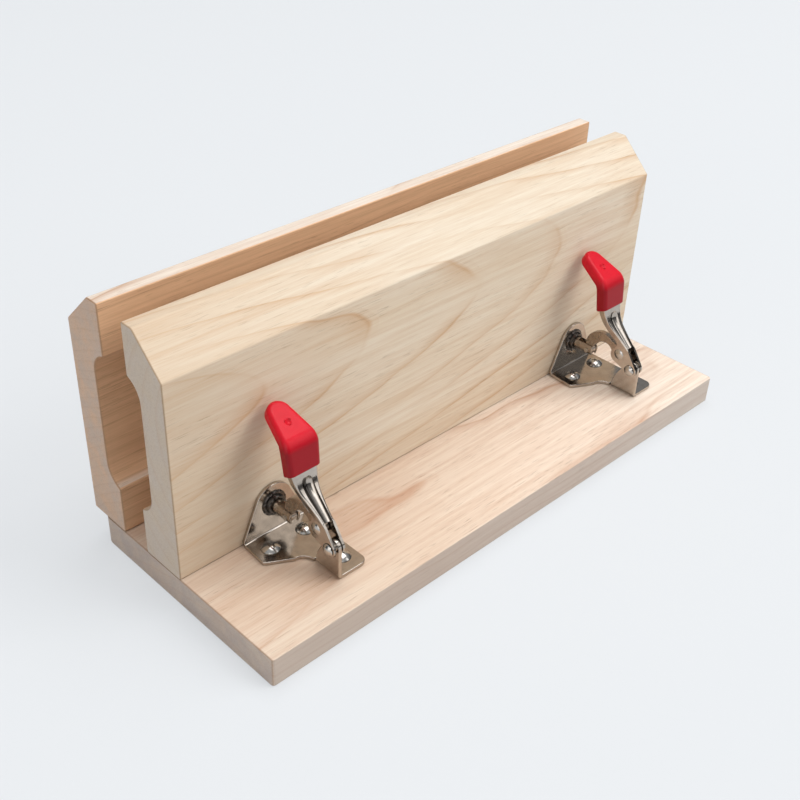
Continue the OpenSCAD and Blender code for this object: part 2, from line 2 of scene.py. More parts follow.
# # A leather stitching pony clamp
# Two pale wooden jaws stand on a flat board, and two plated toggle clamps with red grips draw
# them together. The imported model gives every size and place. This file gives it its looks:
# wood with grain, bright plated sheet steel and a dipped vinyl grip.
#
# We start by loading the imported model. What we add must stay in it.

# %% Load the imported model
import math
import bpy
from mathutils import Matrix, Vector


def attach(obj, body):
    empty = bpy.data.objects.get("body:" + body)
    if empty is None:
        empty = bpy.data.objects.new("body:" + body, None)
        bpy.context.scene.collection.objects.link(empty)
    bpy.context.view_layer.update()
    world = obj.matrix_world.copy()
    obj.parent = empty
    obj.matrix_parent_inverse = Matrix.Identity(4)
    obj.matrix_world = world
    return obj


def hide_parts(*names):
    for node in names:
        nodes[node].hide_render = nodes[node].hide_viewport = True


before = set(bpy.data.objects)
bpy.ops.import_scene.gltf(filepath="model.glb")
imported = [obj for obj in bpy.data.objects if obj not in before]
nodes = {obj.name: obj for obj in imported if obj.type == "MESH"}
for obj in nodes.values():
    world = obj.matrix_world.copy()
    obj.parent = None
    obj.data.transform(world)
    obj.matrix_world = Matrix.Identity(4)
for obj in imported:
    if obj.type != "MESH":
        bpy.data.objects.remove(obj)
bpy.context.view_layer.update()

# %% [markdown]
# ## Sizes
# The drawing is in millimetres and Blender works in metres, so every helper below takes
# millimetres and scales them. The clamp pieces are drawn around one point: the middle of the
# clamp on the jaw's outer face, level with the top of the board.

# %% Sizes that several pieces share
MM = 0.001
BASE_L, BASE_D, BASE_T = 410, 160, 20
JAW_SETBACK, JAW_T, JAW_H = 81.5, 32.5, 153.5
OPEN_GAP, SLIDE_CLEAR = 22.565, 0.4
JAW_FACE = JAW_SETBACK - BASE_D / 2
REAR_FACE = JAW_FACE + 2 * JAW_T + OPEN_GAP
CLAMP_SPACING = 278
CLAMPS = {"left": -CLAMP_SPACING / 2, "right": CLAMP_SPACING / 2}
SHEET = 2.5
PLUNGER_H, PLUNGER_R = 22, 4.3
PIVOT_OUT, PIN_OUT, OVER_CENTRE = 54.8, 17.3, 0.4
PIVOT = (-PIVOT_OUT, PLUNGER_H + OVER_CENTRE)
PIN = (-PIN_OUT, PLUNGER_H)
CRANK_R, CRANK_ANGLE = 13.4, 40
CRANK = (PIVOT[0] + CRANK_R * math.cos(math.radians(CRANK_ANGLE)),
         PIVOT[1] + CRANK_R * math.sin(math.radians(CRANK_ANGLE)))
LINK_L = math.dist(PIN, CRANK)
LINK_ANGLE = math.degrees(math.atan2(PIN[1] - CRANK[1], PIN[0] - CRANK[0]))
print("link length", round(LINK_L, 2), "mm at", round(LINK_ANGLE, 2), "degrees")

# %% [markdown]
# ## Helpers for shaping
# Blender's operators act on whatever is selected, so each helper first deselects everything.
# A flat outline starts as Blender's filled circle with as many corners as the outline has, the
# corners are moved to their places, and the face is extruded. That is quicker than drawing a
# box and cutting it down, and it keeps the corner order clean for the bevels that follow.

# %% Selecting and applying
def pick(obj):
    bpy.ops.object.select_all(action="DESELECT")
    obj.select_set(True)
    bpy.context.view_layer.objects.active = obj
    return obj


def edit(obj, mode="FACE"):
    pick(obj)
    bpy.ops.object.mode_set(mode="EDIT")
    bpy.ops.mesh.select_mode(type=mode)


def done():
    bpy.ops.object.mode_set(mode="OBJECT")


def select_parts(obj, test, kind="FACE"):
    """Selects the faces or edges that pass the test, then leaves edit mode on."""
    edit(obj, kind)
    bpy.ops.mesh.select_all(action="DESELECT")
    done()
    parts = obj.data.polygons if kind == "FACE" else obj.data.edges
    chosen = [p for p in parts if test(p)]
    for part in chosen:
        part.select = True
    bpy.ops.object.mode_set(mode="EDIT")
    return len(chosen)


def modify(obj, kind, **settings):
    pick(obj)
    modifier = obj.modifiers.new(kind.title(), kind)
    for key, value in settings.items():
        setattr(modifier, key, value)
    bpy.ops.object.modifier_apply(modifier=modifier.name)
    return obj


# %% [markdown]
# Three shapes cover most of the clamp: a flat outline that is pushed out, a profile that is spun
# about an axis, and one shape cut by another. A pushed or spun shape can come out with doubled
# points or with faces that look inwards, so both end by merging points and turning the faces.

# %% Outlines, slabs and turned shapes
def arc(centre, radius, start, end, steps=10):
    """Points on an arc, in millimetres and degrees."""
    turn = [math.radians(start + (end - start) * i / steps) for i in range(steps + 1)]
    return [(centre[0] + radius * math.cos(t), centre[1] + radius * math.sin(t)) for t in turn]


def outward(obj):
    edit(obj)
    bpy.ops.mesh.select_all(action="SELECT")
    bpy.ops.mesh.remove_doubles(threshold=0.002 * MM)
    bpy.ops.mesh.normals_make_consistent(inside=False)
    done()
    return obj


def flat(name, corners):
    """A flat face with the given corners, in millimetres."""
    bpy.ops.object.select_all(action="DESELECT")
    bpy.ops.mesh.primitive_circle_add(vertices=len(corners), fill_type="NGON")
    obj = bpy.context.active_object
    obj.name = name
    for vertex, corner in zip(obj.data.vertices, corners):
        vertex.co = Vector(corner) * MM
    return obj


def slab(name, corners, push):
    """A flat outline pushed out into a solid."""
    obj = flat(name, corners)
    edit(obj)
    bpy.ops.mesh.select_all(action="SELECT")
    bpy.ops.mesh.extrude_region_move(TRANSFORM_OT_translate={"value": Vector(push) * MM})
    done()
    return outward(obj)


def along_x(name, outline, width, x=0):
    """An outline of (y, z) points, pushed out along X and centred on x."""
    return slab(name, [(x - width / 2, y, z) for y, z in outline], (width, 0, 0))


def turned(name, profile, at, axis, steps=64):
    """A closed profile of (radius, height) points, spun about an axis through a point."""
    along = Vector(axis).normalized()
    across = along.orthogonal().normalized()
    centre = Vector(at)
    obj = flat(name, [centre + across * r + along * h for r, h in profile])
    edit(obj)
    bpy.ops.mesh.select_all(action="SELECT")
    bpy.ops.mesh.delete(type="ONLY_FACE")
    bpy.ops.mesh.select_all(action="SELECT")
    bpy.ops.mesh.spin(steps=steps, angle=2 * math.pi, center=centre * MM, axis=along)
    bpy.ops.mesh.select_all(action="SELECT")
    bpy.ops.mesh.remove_doubles(threshold=0.002 * MM)
    bpy.ops.mesh.dissolve_degenerate(threshold=0.001 * MM)
    bpy.ops.mesh.select_all(action="SELECT")
    bpy.ops.mesh.delete_loose()
    done()
    return outward(obj)


def combine(obj, other, how):
    modify(obj, "BOOLEAN", object=other, operation=how, solver="EXACT")
    bpy.data.objects.remove(other)
    return obj


def ease(obj, width, segments=3, angle=30):
    """Rounds every edge sharper than the angle."""
    modify(obj, "BEVEL", width=width * MM, segments=segments, limit_method="ANGLE",
           angle_limit=math.radians(angle), miter_outer="MITER_ARC", harden_normals=False)
    return outward(obj)


# %% [markdown]
# ## Materials from nodes
# A procedural material is a chain of small nodes, and it is slow to draw by hand for each
# finish. These helpers add one node each and hand back the socket that the next one needs. An
# input is given by its name, with an underscore for a space, or by its number, such as i0.

# %% Short ways to add shader nodes
def node(tree, kind, **inputs):
    made = tree.nodes.new(kind)
    for key, value in inputs.items():
        key = int(key[1:]) if key.startswith("i") and key[1:].isdigit() else key.replace("_", " ")
        if isinstance(value, bpy.types.NodeSocket):
            tree.links.new(value, made.inputs[key])
        else:
            made.inputs[key].default_value = value
    return made


def ramp(tree, factor, stops):
    made = node(tree, "ShaderNodeValToRGB", Fac=factor)
    elements = made.color_ramp.elements
    while len(elements) < len(stops):
        elements.new(0.5)
    for element, (place, colour) in zip(elements, stops):
        element.position = place
        element.color = (*colour, 1)
    return made.outputs["Color"]


def grey(value):
    return (value, value, value)


def fade(tree, factor, low, high, to=1, start=0):
    """Goes from start to its full amount while the factor goes from low to high."""
    return ramp(tree, factor, [(low, grey(start)), (high, grey(to))])


def span(tree, value, start, stop, to=1):
    """Goes from 0 to its full amount between two places in millimetres."""
    return node(tree, "ShaderNodeMapRange", Value=value, i1=start * MM, i2=stop * MM,
                i4=to).outputs[0]


def mix(tree, factor, first, second):
    made = tree.nodes.new("ShaderNodeMix")
    made.data_type = "RGBA"
    for number, value in ((0, factor), (6, first), (7, second)):
        if isinstance(value, bpy.types.NodeSocket):
            tree.links.new(value, made.inputs[number])
        else:
            made.inputs[number].default_value = (*value, 1) if isinstance(value, tuple) else value
    return made.outputs[2]


def shaded(colour, share):
    return tuple(c * share for c in colour)


def math_node(tree, operation, first, second=0.0):
    made = node(tree, "ShaderNodeMath", i0=first, i1=second)
    made.operation = operation
    return made.outputs[0]


def vector_node(tree, operation, first, second):
    made = node(tree, "ShaderNodeVectorMath", i0=first, i1=second)
    made.operation = operation
    return made.outputs[0]


def axis_of(tree, vector, axis):
    """One of a vector's three parts, X, Y or Z."""
    return node(tree, "ShaderNodeSeparateXYZ", i0=vector).outputs[axis]


# %% [markdown]
# Every finish below starts from the same shader. Its patterns read the object's own coordinates,
# so they stay on a piece when it moves. Roughness and bump are what make a surface believable,
# so each finish drives both from its own patterns.

# %% Starting a material
def start_material(name):
    material = bpy.data.materials.new(name)
    material.use_nodes = True
    tree = material.node_tree
    tree.nodes.clear()
    output = tree.nodes.new("ShaderNodeOutputMaterial")
    shader = tree.nodes.new("ShaderNodeBsdfPrincipled")
    tree.links.new(shader.outputs["BSDF"], output.inputs["Surface"])
    place = tree.nodes.new("ShaderNodeTexCoord").outputs["Object"]
    return material, tree, shader, place


def mapped(tree, place, location=(0, 0, 0), turn=(0, 0, 0), scale=(1, 1, 1)):
    return node(tree, "ShaderNodeMapping", Vector=place, Location=location,
                Rotation=[math.radians(a) for a in turn], Scale=scale).outputs["Vector"]


def noise(tree, vector, scale=1, detail=2, roughness=0.5):
    return node(tree, "ShaderNodeTexNoise", Vector=vector, Scale=scale, Detail=detail,
                Roughness=roughness).outputs["Fac"]


def vary_roughness(tree, shader, pattern, low, high, start=0.0, stop=1.0):
    """Roughness goes from low to high while the pattern goes from start to stop."""
    rough = node(tree, "ShaderNodeMapRange", Value=pattern, i1=start, i2=stop, i3=low, i4=high)
    tree.links.new(rough.outputs[0], shader.inputs["Roughness"])


def add_bump(tree, shader, pattern, strength, depth):
    """The depth of the bump is in millimetres."""
    bump = node(tree, "ShaderNodeBump", Height=pattern, Strength=strength, Distance=depth * MM)
    tree.links.new(bump.outputs[0], shader.inputs["Normal"])


# %% [markdown]
# ## Wood
# The jaws are a pale, close-grained hardwood and the board is a pinker one. A solid pattern
# suits wood best: growth rings around a distant pith, stretched along the length, show as long
# flames on the faces and as arcs on the sawn ends, with no unwrapping. Short dark pores and
# fine fibres go over the rings.

# %% Rings and fibres
def growth_rings(tree, place, pith, tilt, ring):
    """Pale through each year's growth, and dark near its end.

    pith is where the rings are centred and ring is their spacing, both in millimetres."""
    # The rings wander: a slow noise pushes the place that they are measured from
    wander = 9 * MM
    drift = node(tree, "ShaderNodeTexNoise", Vector=mapped(tree, place, scale=(7, 20, 20)),
                 Scale=1, Detail=2).outputs["Color"]
    swing = vector_node(tree, "SUBTRACT", drift, (0.5, 0.5, 0.5))
    push = vector_node(tree, "MULTIPLY", swing, (0, wander, wander))
    moved = vector_node(tree, "ADD", place, push)
    centred = mapped(tree, moved, [-p * MM for p in pith], tilt)
    # Blender's rings are a tenth of pi apart at a scale of 1
    wave = node(tree, "ShaderNodeTexWave", Vector=centred, Scale=math.pi / 10 / (ring * MM),
                Distortion=0.9, Detail=2, Detail_Scale=0.35, Detail_Roughness=0.5)
    wave.wave_type = "RINGS"
    wave.rings_direction = "X"
    wave.wave_profile = "SAW"
    tones = ((0.0, 0), (0.68, 0.06), (0.86, 0.5), (0.895, 0.85), (0.94, 0.1))
    return ramp(tree, wave.outputs["Fac"], [(stop, grey(value)) for stop, value in tones])


def grain(tree, place, lean, along, across, detail, roughness=0.5):
    """Noise drawn out along X. Along and across say how fine it is each way."""
    return noise(tree, mapped(tree, place, turn=(0, lean, 0), scale=(along, across, across)), 1,
                 detail, roughness)


# %% [markdown]
# The sawn ends drink light, so they are greyer. They show the rings as arcs and the pores as
# fine specks. The saw has browned the edge of each end, and a dark line of painted shade marks
# where the front jaw meets the board.

# %% Sawn ends and dark edges
def sawn_end(tree, place, late, end, base, line, dark):
    clouds = noise(tree, place, 75, 3, 0.6)
    specks = noise(tree, place, 1300, 3, 0.7)
    tone = mix(tree, fade(tree, clouds, 0.38, 0.64, 0.55), end, base)
    tone = mix(tree, math_node(tree, "MULTIPLY", late, 0.25), tone, line)
    return mix(tree, fade(tree, specks, 0.45, 0.75, 0.3), tone, dark)


def browned_edges_and_joint_shade(tree, place, foot):
    """Full at the edges of the sawn ends, and at the height of the joint as painted shade."""
    tip = math_node(tree, "ABSOLUTE", axis_of(tree, place, "X"))
    edge = span(tree, tip, BASE_L / 2 - 1.1, BASE_L / 2 - 0.5, 0.6)
    if foot is None:
        return edge
    # Painted shade along the joint where the jaw stands on the board
    joint = span(tree, axis_of(tree, place, "Z"), foot + 1.1, foot + 0.6, 0.8)
    return math_node(tree, "MAXIMUM", edge, joint)


# %% [markdown]
# A wood's recipe then lays these over each other: slow bands of two tones, late wood, streaks,
# fibres, pores and dark edges. The same recipe serves all three pieces of wood, each with its
# own pith, spacing and colours, as three planks from different trees have.

# %% The wood's recipe
def wood(name, pale, warm, line, end, pith, tilt, ring, pores, streaky,
         heart=None, painted_falloff=None, sawn_sides=False, foot=None):
    """pale and warm are its two tones, line is its late wood and end its sawn ends.

    heart is the redder colour that it takes except on the faces that face up. turning is
    painted light and shade: a colour, the x where the wood starts to take it and the x where it
    ends. foot is the height of a joint, which is darkened there as painted shade."""
    material, tree, shader, place = start_material(name)
    normal = tree.nodes.new("ShaderNodeNewGeometry").outputs["Normal"]
    dark = shaded(line, 0.55)
    late = growth_rings(tree, place, pith, tilt, ring)
    lean = tilt[1]
    bands = grain(tree, place, lean, 3.2, 26, 3)
    streaks = grain(tree, place, lean, 10, 300, 4, 0.65)
    fibres = grain(tree, place, lean, 24, 1500, 3, 0.6)
    pits = grain(tree, place, lean, 75, 1650, 2)
    where = noise(tree, mapped(tree, place, location=(3, 1, 2), scale=(8, 45, 45)))
    base = mix(tree, fade(tree, bands, 0.35, 0.65), pale, warm)
    # Painted light and shade along x: the front jaw darkens towards its left end, and the board
    # pales towards its right end
    if painted_falloff:
        colour, start, stop = painted_falloff
        base = mix(tree, span(tree, axis_of(tree, place, "X"), start, stop, 0.65), base, colour)
    if heart:
        # Reddish heartwood, paler on the faces that face up
        faces_up = fade(tree, axis_of(tree, normal, "Z"), 0.8, 0.97)
        base = mix(tree, faces_up, mix(tree, bands, heart, shaded(heart, 0.84)), base)
    patchy = fade(tree, where, 0.36, 0.64, start=0.12)
    tone = mix(tree, math_node(tree, "MULTIPLY", late, patchy), base, line)
    tone = mix(tree, fade(tree, streaks, 0.42, 0.75, streaky), tone, line)
    tone = mix(tree, fade(tree, fibres, 0.35, 0.8, 0.3), tone, line)
    pore = fade(tree, pits, 0.6, 0.72)
    open_pores = math_node(tree, "MULTIPLY", pore, fade(tree, where, 0.4, 0.65, start=0.25))
    tone = mix(tree, math_node(tree, "MULTIPLY", open_pores, pores), tone, dark)
    # Browned end edges, and painted shade at the jaw's joint with the board
    tone = mix(tree, browned_edges_and_joint_shade(tree, place, foot), tone, dark)
    if sawn_sides:
        side = fade(tree, math_node(tree, "ABSOLUTE", axis_of(tree, normal, "Y")), 0.75, 0.95, 0.6)
        tone = mix(tree, side, tone, shaded(end, 0.82))
    sawn = fade(tree, math_node(tree, "ABSOLUTE", axis_of(tree, normal, "X")), 0.75, 0.95)
    ends = sawn_end(tree, place, late, end, base, line, dark)
    tone = mix(tree, math_node(tree, "MULTIPLY", sawn, 0.9), tone, ends)
    tree.links.new(tone, shader.inputs["Base Color"])
    shader.inputs["Specular IOR Level"].default_value = 0.32
    vary_roughness(tree, shader, fibres, 0.52, 0.68)
    raised = math_node(tree, "SUBTRACT", fibres, math_node(tree, "MULTIPLY", pore, 0.8))
    add_bump(tree, shader, raised, 0.35, 0.12)
    return material


# %% The three woods
# The front jaw's colour along x is painted shade, darker towards its left end
jaw_wood = wood(
    "pale jaw wood", pale=(0.745, 0.665, 0.545), warm=(0.70, 0.59, 0.45),
    line=(0.54, 0.33, 0.18), end=(0.63, 0.54, 0.455), pith=(0, -70, 128), tilt=(0, 2.5, 8.6),
    ring=13, pores=0.45, streaky=0.42, painted_falloff=((0.61, 0.48, 0.345), -50, -205), foot=BASE_T)
rear_wood = wood(
    "warm jaw wood", pale=(0.83, 0.765, 0.675), warm=(0.79, 0.70, 0.60),
    line=(0.46, 0.25, 0.14), end=(0.62, 0.48, 0.385), pith=(0, 10, -60), tilt=(0, 1.2, -2.4),
    ring=6, pores=0.6, streaky=0.4, heart=(0.86, 0.535, 0.315))
# The board's colour along x is painted light, paler towards its right end
board_wood = wood(
    "pink board wood", pale=(0.70, 0.58, 0.46), warm=(0.66, 0.50, 0.375),
    line=(0.50, 0.285, 0.18), end=(0.52, 0.44, 0.39), pith=(0, -40, -190), tilt=(0, -1.4, 1.8),
    ring=8, pores=0.75, streaky=0.5, painted_falloff=((0.93, 0.86, 0.76), -90, 140), sawn_sides=True)
print("woods:", jaw_wood.name, rear_wood.name, board_wood.name, sep="\n  ")

# %% [markdown]
# ## Steel, brass and vinyl
# The clamps are pressed steel with a bright, slightly warm nickel plate. Plating is never a
# perfect mirror: a soft noise varies its roughness, and a faint bump bends the reflections. A
# value painted on the mesh darkens the plate in a deep press mark: painted shade.

# %% Steel and brass
def metal(name, colour, low, high, ripple=0.06, spread=(180, 180, 180)):
    """low and high are its roughness, and spread is the scale of its clouds along each axis."""
    material, tree, shader, place = start_material(name)
    clouds = noise(tree, mapped(tree, place, scale=spread), 1, 4, 0.6)
    fine = noise(tree, place, 1600, 3, 0.6)
    shade = mix(tree, fade(tree, clouds, 0.35, 0.7), colour, shaded(colour, 0.84))
    # Painted shade: a value painted on the mesh darkens the plate to a sixth of its colour
    painted_shade = tree.nodes.new("ShaderNodeAttribute")
    painted_shade.attribute_name = "painted_shade"
    shade = mix(tree, painted_shade.outputs["Fac"], shade, shaded(colour, 0.16))
    tree.links.new(shade, shader.inputs["Base Color"])
    shader.inputs["Metallic"].default_value = 1
    vary_roughness(tree, shader, clouds, low, high, 0.3, 0.7)
    uneven = math_node(tree, "ADD", clouds, math_node(tree, "MULTIPLY", fine, 0.15))
    add_bump(tree, shader, uneven, ripple, 0.6)
    return material


nickel = metal("warm nickel plate", (0.52, 0.465, 0.41), 0.10, 0.21, 0.08)
satin = metal("satin nickel plate", (0.42, 0.35, 0.285), 0.18, 0.32, 0.12)
bright = metal("bright screw plate", (0.55, 0.52, 0.48), 0.12, 0.22)
smoked = metal("dark staked steel", (0.10, 0.088, 0.08), 0.18, 0.34)
brass = metal("turned brass", (0.78, 0.56, 0.25), 0.2, 0.35, 0.05, (900, 60, 900))
print("metals:", nickel.name, satin.name, bright.name, smoked.name, brass.name, sep="\n  ")

# %% [markdown]
# The grips are dipped in soft red vinyl. Below a set height they take a darker colour, which
# is painted shade on their lower part. A weak clear coat over a duller base gives the soft
# double highlight of vinyl.

# %% Vinyl
def vinyl(name, colour, shade_colour, low, high):
    """Painted shade: a darker colour below the height low, and the full colour above high."""
    material, tree, shader, place = start_material(name)
    clouds = noise(tree, place, 140, 3)
    skin = noise(tree, place, 900)
    # Painted shade: the colour darkens below the height low
    above_shade = span(tree, axis_of(tree, place, "Z"), low, high)
    shade = mix(tree, above_shade, shade_colour, mix(tree, clouds, colour, shaded(colour, 0.8)))
    tree.links.new(shade, shader.inputs["Base Color"])
    shader.inputs["Specular IOR Level"].default_value = 0.17
    shader.inputs["Coat Weight"].default_value = 0.08
    shader.inputs["Coat Roughness"].default_value = 0.14
    vary_roughness(tree, shader, clouds, 0.30, 0.42)
    add_bump(tree, shader, math_node(tree, "ADD", clouds, skin), 0.08, 0.4)
    return material


# The second colour is painted shade for the grip's lower part
red_vinyl = vinyl("red dipped vinyl", (0.66, 0.008, 0.022), (0.29, 0.003, 0.009), 97, 104)
print("vinyl:", red_vinyl.name)

# %% [markdown]
# ## Finishing a piece
# A sanded or pressed piece has soft edges between truly flat faces. Smooth shading rounds the
# edges, and weighted normals keep the large faces flat.

# %% Shading and material
def dress(obj, material):
    pick(obj)
    bpy.ops.object.shade_smooth_by_angle(angle=math.radians(35))
    modify(obj, "WEIGHTED_NORMAL", keep_sharp=True)
    obj.data.materials.clear()
    obj.data.materials.append(material)
    return obj


# %% [markdown]
# ## The board
# A plain plank with eased edges and rounded upright corners, which are rounder at the back. A
# cube at the plank's size, rounded by bevels, is closer to a sanded plank than the drawing's
# flat chamfer. The four screws of the front jaw come up from below, so the plank gets their
# countersinks.

# %% Board
BACK_CORNER_R, FRONT_CORNER_R, BOARD_EASE = 6, 2.2, 0.9
JAW_SCREWS, JAW_SCREW_SPACING, JAW_SCREW_BORE_R = 4, 110, 2.52

bpy.ops.object.select_all(action="DESELECT")
bpy.ops.mesh.primitive_cube_add(size=1, location=(0, 0, BASE_T / 2 * MM))
board = bpy.context.active_object
board.name = "board"
board.scale = Vector((BASE_L, BASE_D, BASE_T)) * MM
bpy.ops.object.transform_apply(location=True, rotation=True, scale=True)


def upright_corner(side):
    """A test for the upright edges at the front, side -1, or at the back, side 1."""
    def test(e):
        ends = [board.data.vertices[i].co / MM for i in e.vertices]
        return all(side * v.y > 0 for v in ends) and abs(ends[0].z - ends[1].z) > BASE_T / 2
    return test


for side, radius in ((1, BACK_CORNER_R), (-1, FRONT_CORNER_R)):
    corners = select_parts(board, upright_corner(side), "EDGE")
    bpy.ops.mesh.bevel(offset=radius * MM, segments=10, affect="EDGES")
    done()
    print(corners, "corners rounded to", radius, "mm")
ease(board, BOARD_EASE, 4)


# %% [markdown]
# A screw hole is one spun shape, a countersink and its bore, which a Boolean takes out of the
# board. The holes come after the bevels, because a bevel would also round their rims.

# %% The board's screw holes
def screw_hole(x):
    """A countersink and a bore, which start and end 1 mm outside the board for a clean cut."""
    bore, top = JAW_SCREW_BORE_R, BASE_T + 1
    profile = [(0, -1), (bore + 3.5, -1), (bore, 2.5), (bore, top), (0, top)]
    return turned("screw hole", profile, (x, JAW_FACE + JAW_T / 2, 0), (0, 0, 1), 32)


for i in range(JAW_SCREWS):
    x = (i - (JAW_SCREWS - 1) / 2) * JAW_SCREW_SPACING
    combine(board, screw_hole(x), "DIFFERENCE")
dress(board, board_wood)
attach(board, "frame")
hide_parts("base_board")
print("board", len(board.data.polygons), "faces")

# %% [markdown]
# ## The jaws
# Both jaws share one section: a foot, a hollow with a cove at each end, and a gripping head with
# a long bevel. The section is pushed out along X and turned round for the rear jaw.

# %% Jaws
HOLLOW, COVE_R, FOOT_H, HEAD_H = 10.5, 14, 32, 32.5
TOP_LAND, BEVEL_H, JAW_EASE = 9.5, 22, 1


def jaw_outline():
    """The section, with y from the outer face inwards and z from the jaw's foot."""
    rise = math.sqrt(COVE_R ** 2 - (COVE_R - HOLLOW) ** 2)
    lean = math.degrees(math.asin(rise / COVE_R))
    centre = JAW_T - HOLLOW + COVE_R
    low = arc((centre, FOOT_H + rise), COVE_R, 180 + lean, 180, 12)
    high = arc((centre, JAW_H - HEAD_H - rise), COVE_R, 180, 180 - lean, 12)
    head = [(JAW_T, JAW_H), (JAW_T - TOP_LAND, JAW_H), (0, JAW_H - BEVEL_H)]
    return [(0, 0), (JAW_T, 0), *low, *high, *head]


front_section = [(JAW_FACE + y, BASE_T + z) for y, z in jaw_outline()]
rear_section = [(REAR_FACE - y, BASE_T + SLIDE_CLEAR + z) for y, z in jaw_outline()]
front_jaw = along_x("front_jaw_wood", front_section, BASE_L)
rear_jaw = along_x("rear_jaw_wood", rear_section, BASE_L)
for jaw in (front_jaw, rear_jaw):
    ease(jaw, JAW_EASE, 4, 24)
print("jaws", BASE_L, "mm long, with", len(front_section), "corners in their section")

# %% [markdown]
# The plungers run through the front jaw. In the rear jaw each bolt has a stepped bore, with a
# threaded insert at one end and a recess for its washer at the other. The bores are cut after
# the edges are eased, so that their mouths stay crisp, as a drill leaves them.

# %% Bores through the jaws
PLUNGER_CLEAR, BOLT_BORE_R = 0.45, 3.06
INSERT_R, INSERT_L = 5.02, 13
RECESS_R, RECESS_DEPTH = 9.45, 5.7


def rod(name, radius, x, y0, y1, z, steps=48):
    profile = [(0, y0), (radius, y0), (radius, y1), (0, y1)]
    return turned(name, profile, (x, 0, z), (0, 1, 0), steps)


def stepped_bore(x, z):
    """The insert's seat, the bolt's bore and the washer's recess, from the inner face out."""
    inner, outer = REAR_FACE - JAW_T, REAR_FACE + 1
    seat, recess = inner + INSERT_L, REAR_FACE - RECESS_DEPTH
    profile = [(0, inner - 1), (INSERT_R, inner - 1), (INSERT_R, seat), (BOLT_BORE_R, seat),
               (BOLT_BORE_R, recess), (RECESS_R, recess), (RECESS_R, outer), (0, outer)]
    return turned("bore", profile, (x, 0, z), (0, 1, 0), 48)


for x in CLAMPS.values():
    z = BASE_T + PLUNGER_H
    through = rod("bore", PLUNGER_R + PLUNGER_CLEAR, x, JAW_FACE - 1, JAW_FACE + JAW_T + 1, z)
    combine(front_jaw, through, "DIFFERENCE")
    combine(rear_jaw, stepped_bore(x, z), "DIFFERENCE")
for jaw, body, name, material in ((front_jaw, "frame", "front_jaw", jaw_wood),
                                  (rear_jaw, "sliding_jaw", "rear_jaw", rear_wood)):
    dress(jaw, material)
    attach(jaw, body)
    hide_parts(name)
    print(name, len(jaw.data.polygons), "faces")

# %% [markdown]
# ## One clamp, drawn once
# The two clamps are the same part, so each piece is drawn once around the clamp's own middle
# and then copied to its two places. Each copy gets its own mesh, with its place in the mesh.

# %% Copying a piece to both clamps
def fit_both(piece, material, slot, body, *replaced):
    """Copies a piece to both clamps. Body and node names take the side as their first word."""
    for side, x in CLAMPS.items():
        copy = piece.copy()
        copy.data = piece.data.copy()
        bpy.context.scene.collection.objects.link(copy)
        copy.name = f"{side}_{piece.name}"
        copy.location = Vector((x, JAW_FACE, BASE_T)) * MM
        pick(copy)
        bpy.ops.object.transform_apply(location=True, rotation=True, scale=True)
        dress(copy, material)
        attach(copy, body.replace("SIDE", side))
        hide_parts(*[f"{side}_{name}" for name in replaced])
    print(piece.name, len(piece.data.polygons), "faces")
    bpy.data.objects.remove(piece)


# %% [markdown]
# ## The bracket
# It is one piece of sheet, folded up at the jaw and at the ear. So it is drawn as sheet: three
# flat outlines that share their fold lines are joined, the folds are rounded, and Solidify gives
# the sheet its thickness. A solid block cut to shape would never get the folds as even.

# %% The bracket's flat outlines
FLANGE_HALF, FLANGE_R = 22.5, 13.3
EAR_X, EAR_L, EAR_R = -0.3, 20.8, 4.7
EAR_FRONT = PIVOT[0] - EAR_R
EAR_BACK = EAR_FRONT + EAR_L
NECK_R, FOOT_CORNER_R = 8, 5


def sole_outline():
    """The wide sole at the jaw, the hollow neck and the foot beside the ear."""
    wide = [(-FLANGE_HALF, 0), (-24.3, -21.3), (-22.8, -22.8)]
    neck = arc((EAR_X - NECK_R, EAR_BACK), NECK_R, 90, 4, 10)
    corner_at = (FLANGE_HALF - FOOT_CORNER_R, EAR_FRONT + FOOT_CORNER_R)
    corner = arc(corner_at, FOOT_CORNER_R, 270, 360, 6)
    return [*wide, *neck, (EAR_X, EAR_BACK), (EAR_X, EAR_FRONT), *corner, (FLANGE_HALF, 0)]


def flange_outline():
    """Straight up for 4 mm, and then in to the round top about the plunger's axis."""
    low = (FLANGE_HALF, 4)
    reach = math.dist(low, (0, PLUNGER_H))
    slope = math.atan2(low[1] - PLUNGER_H, low[0]) + math.acos(FLANGE_R / reach)
    side = math.degrees(slope)
    top = arc((0, PLUNGER_H), FLANGE_R, side, 180 - side, 24)
    return [(FLANGE_HALF, 0), low, *top, (-FLANGE_HALF, 4), (-FLANGE_HALF, 0)]


def ear_outline():
    """Round about the pivot, with a shoulder on the side of the jaw."""
    shoulder = (EAR_BACK - 2.4, PIVOT[1] - 12.4)
    neck = (EAR_BACK - 5.4, PIVOT[1] - 6.6)
    slope = math.atan2(neck[1] - PIVOT[1], neck[0] - PIVOT[0])
    touch = math.degrees(slope + math.acos(EAR_R / math.dist(neck, PIVOT)))
    return [(EAR_BACK, 0), (EAR_FRONT, 0), *arc(PIVOT, EAR_R, 180, touch, 16), neck, shoulder]


# %% [markdown]
# The three outlines are joined into one object, and merging their doubled points turns the fold
# lines that they share into real edges, which a bevel can round. The hole for the collar is cut
# once the sheet is thick.

# %% Bracket
FOLD_AT_JAW_R, FOLD_AT_EAR_R = 3.6, 3.2
COLLAR_HOLE_R = 6.05


def folded(obj, test, radius):
    """Rounds the fold lines that pass the test."""
    def on_fold(e):
        a, b = (obj.data.vertices[i].co / MM for i in e.vertices)
        return test(a) and test(b)
    count = select_parts(obj, on_fold, "EDGE")
    bpy.ops.mesh.bevel(offset=radius * MM, segments=6, affect="EDGES")
    done()
    return count


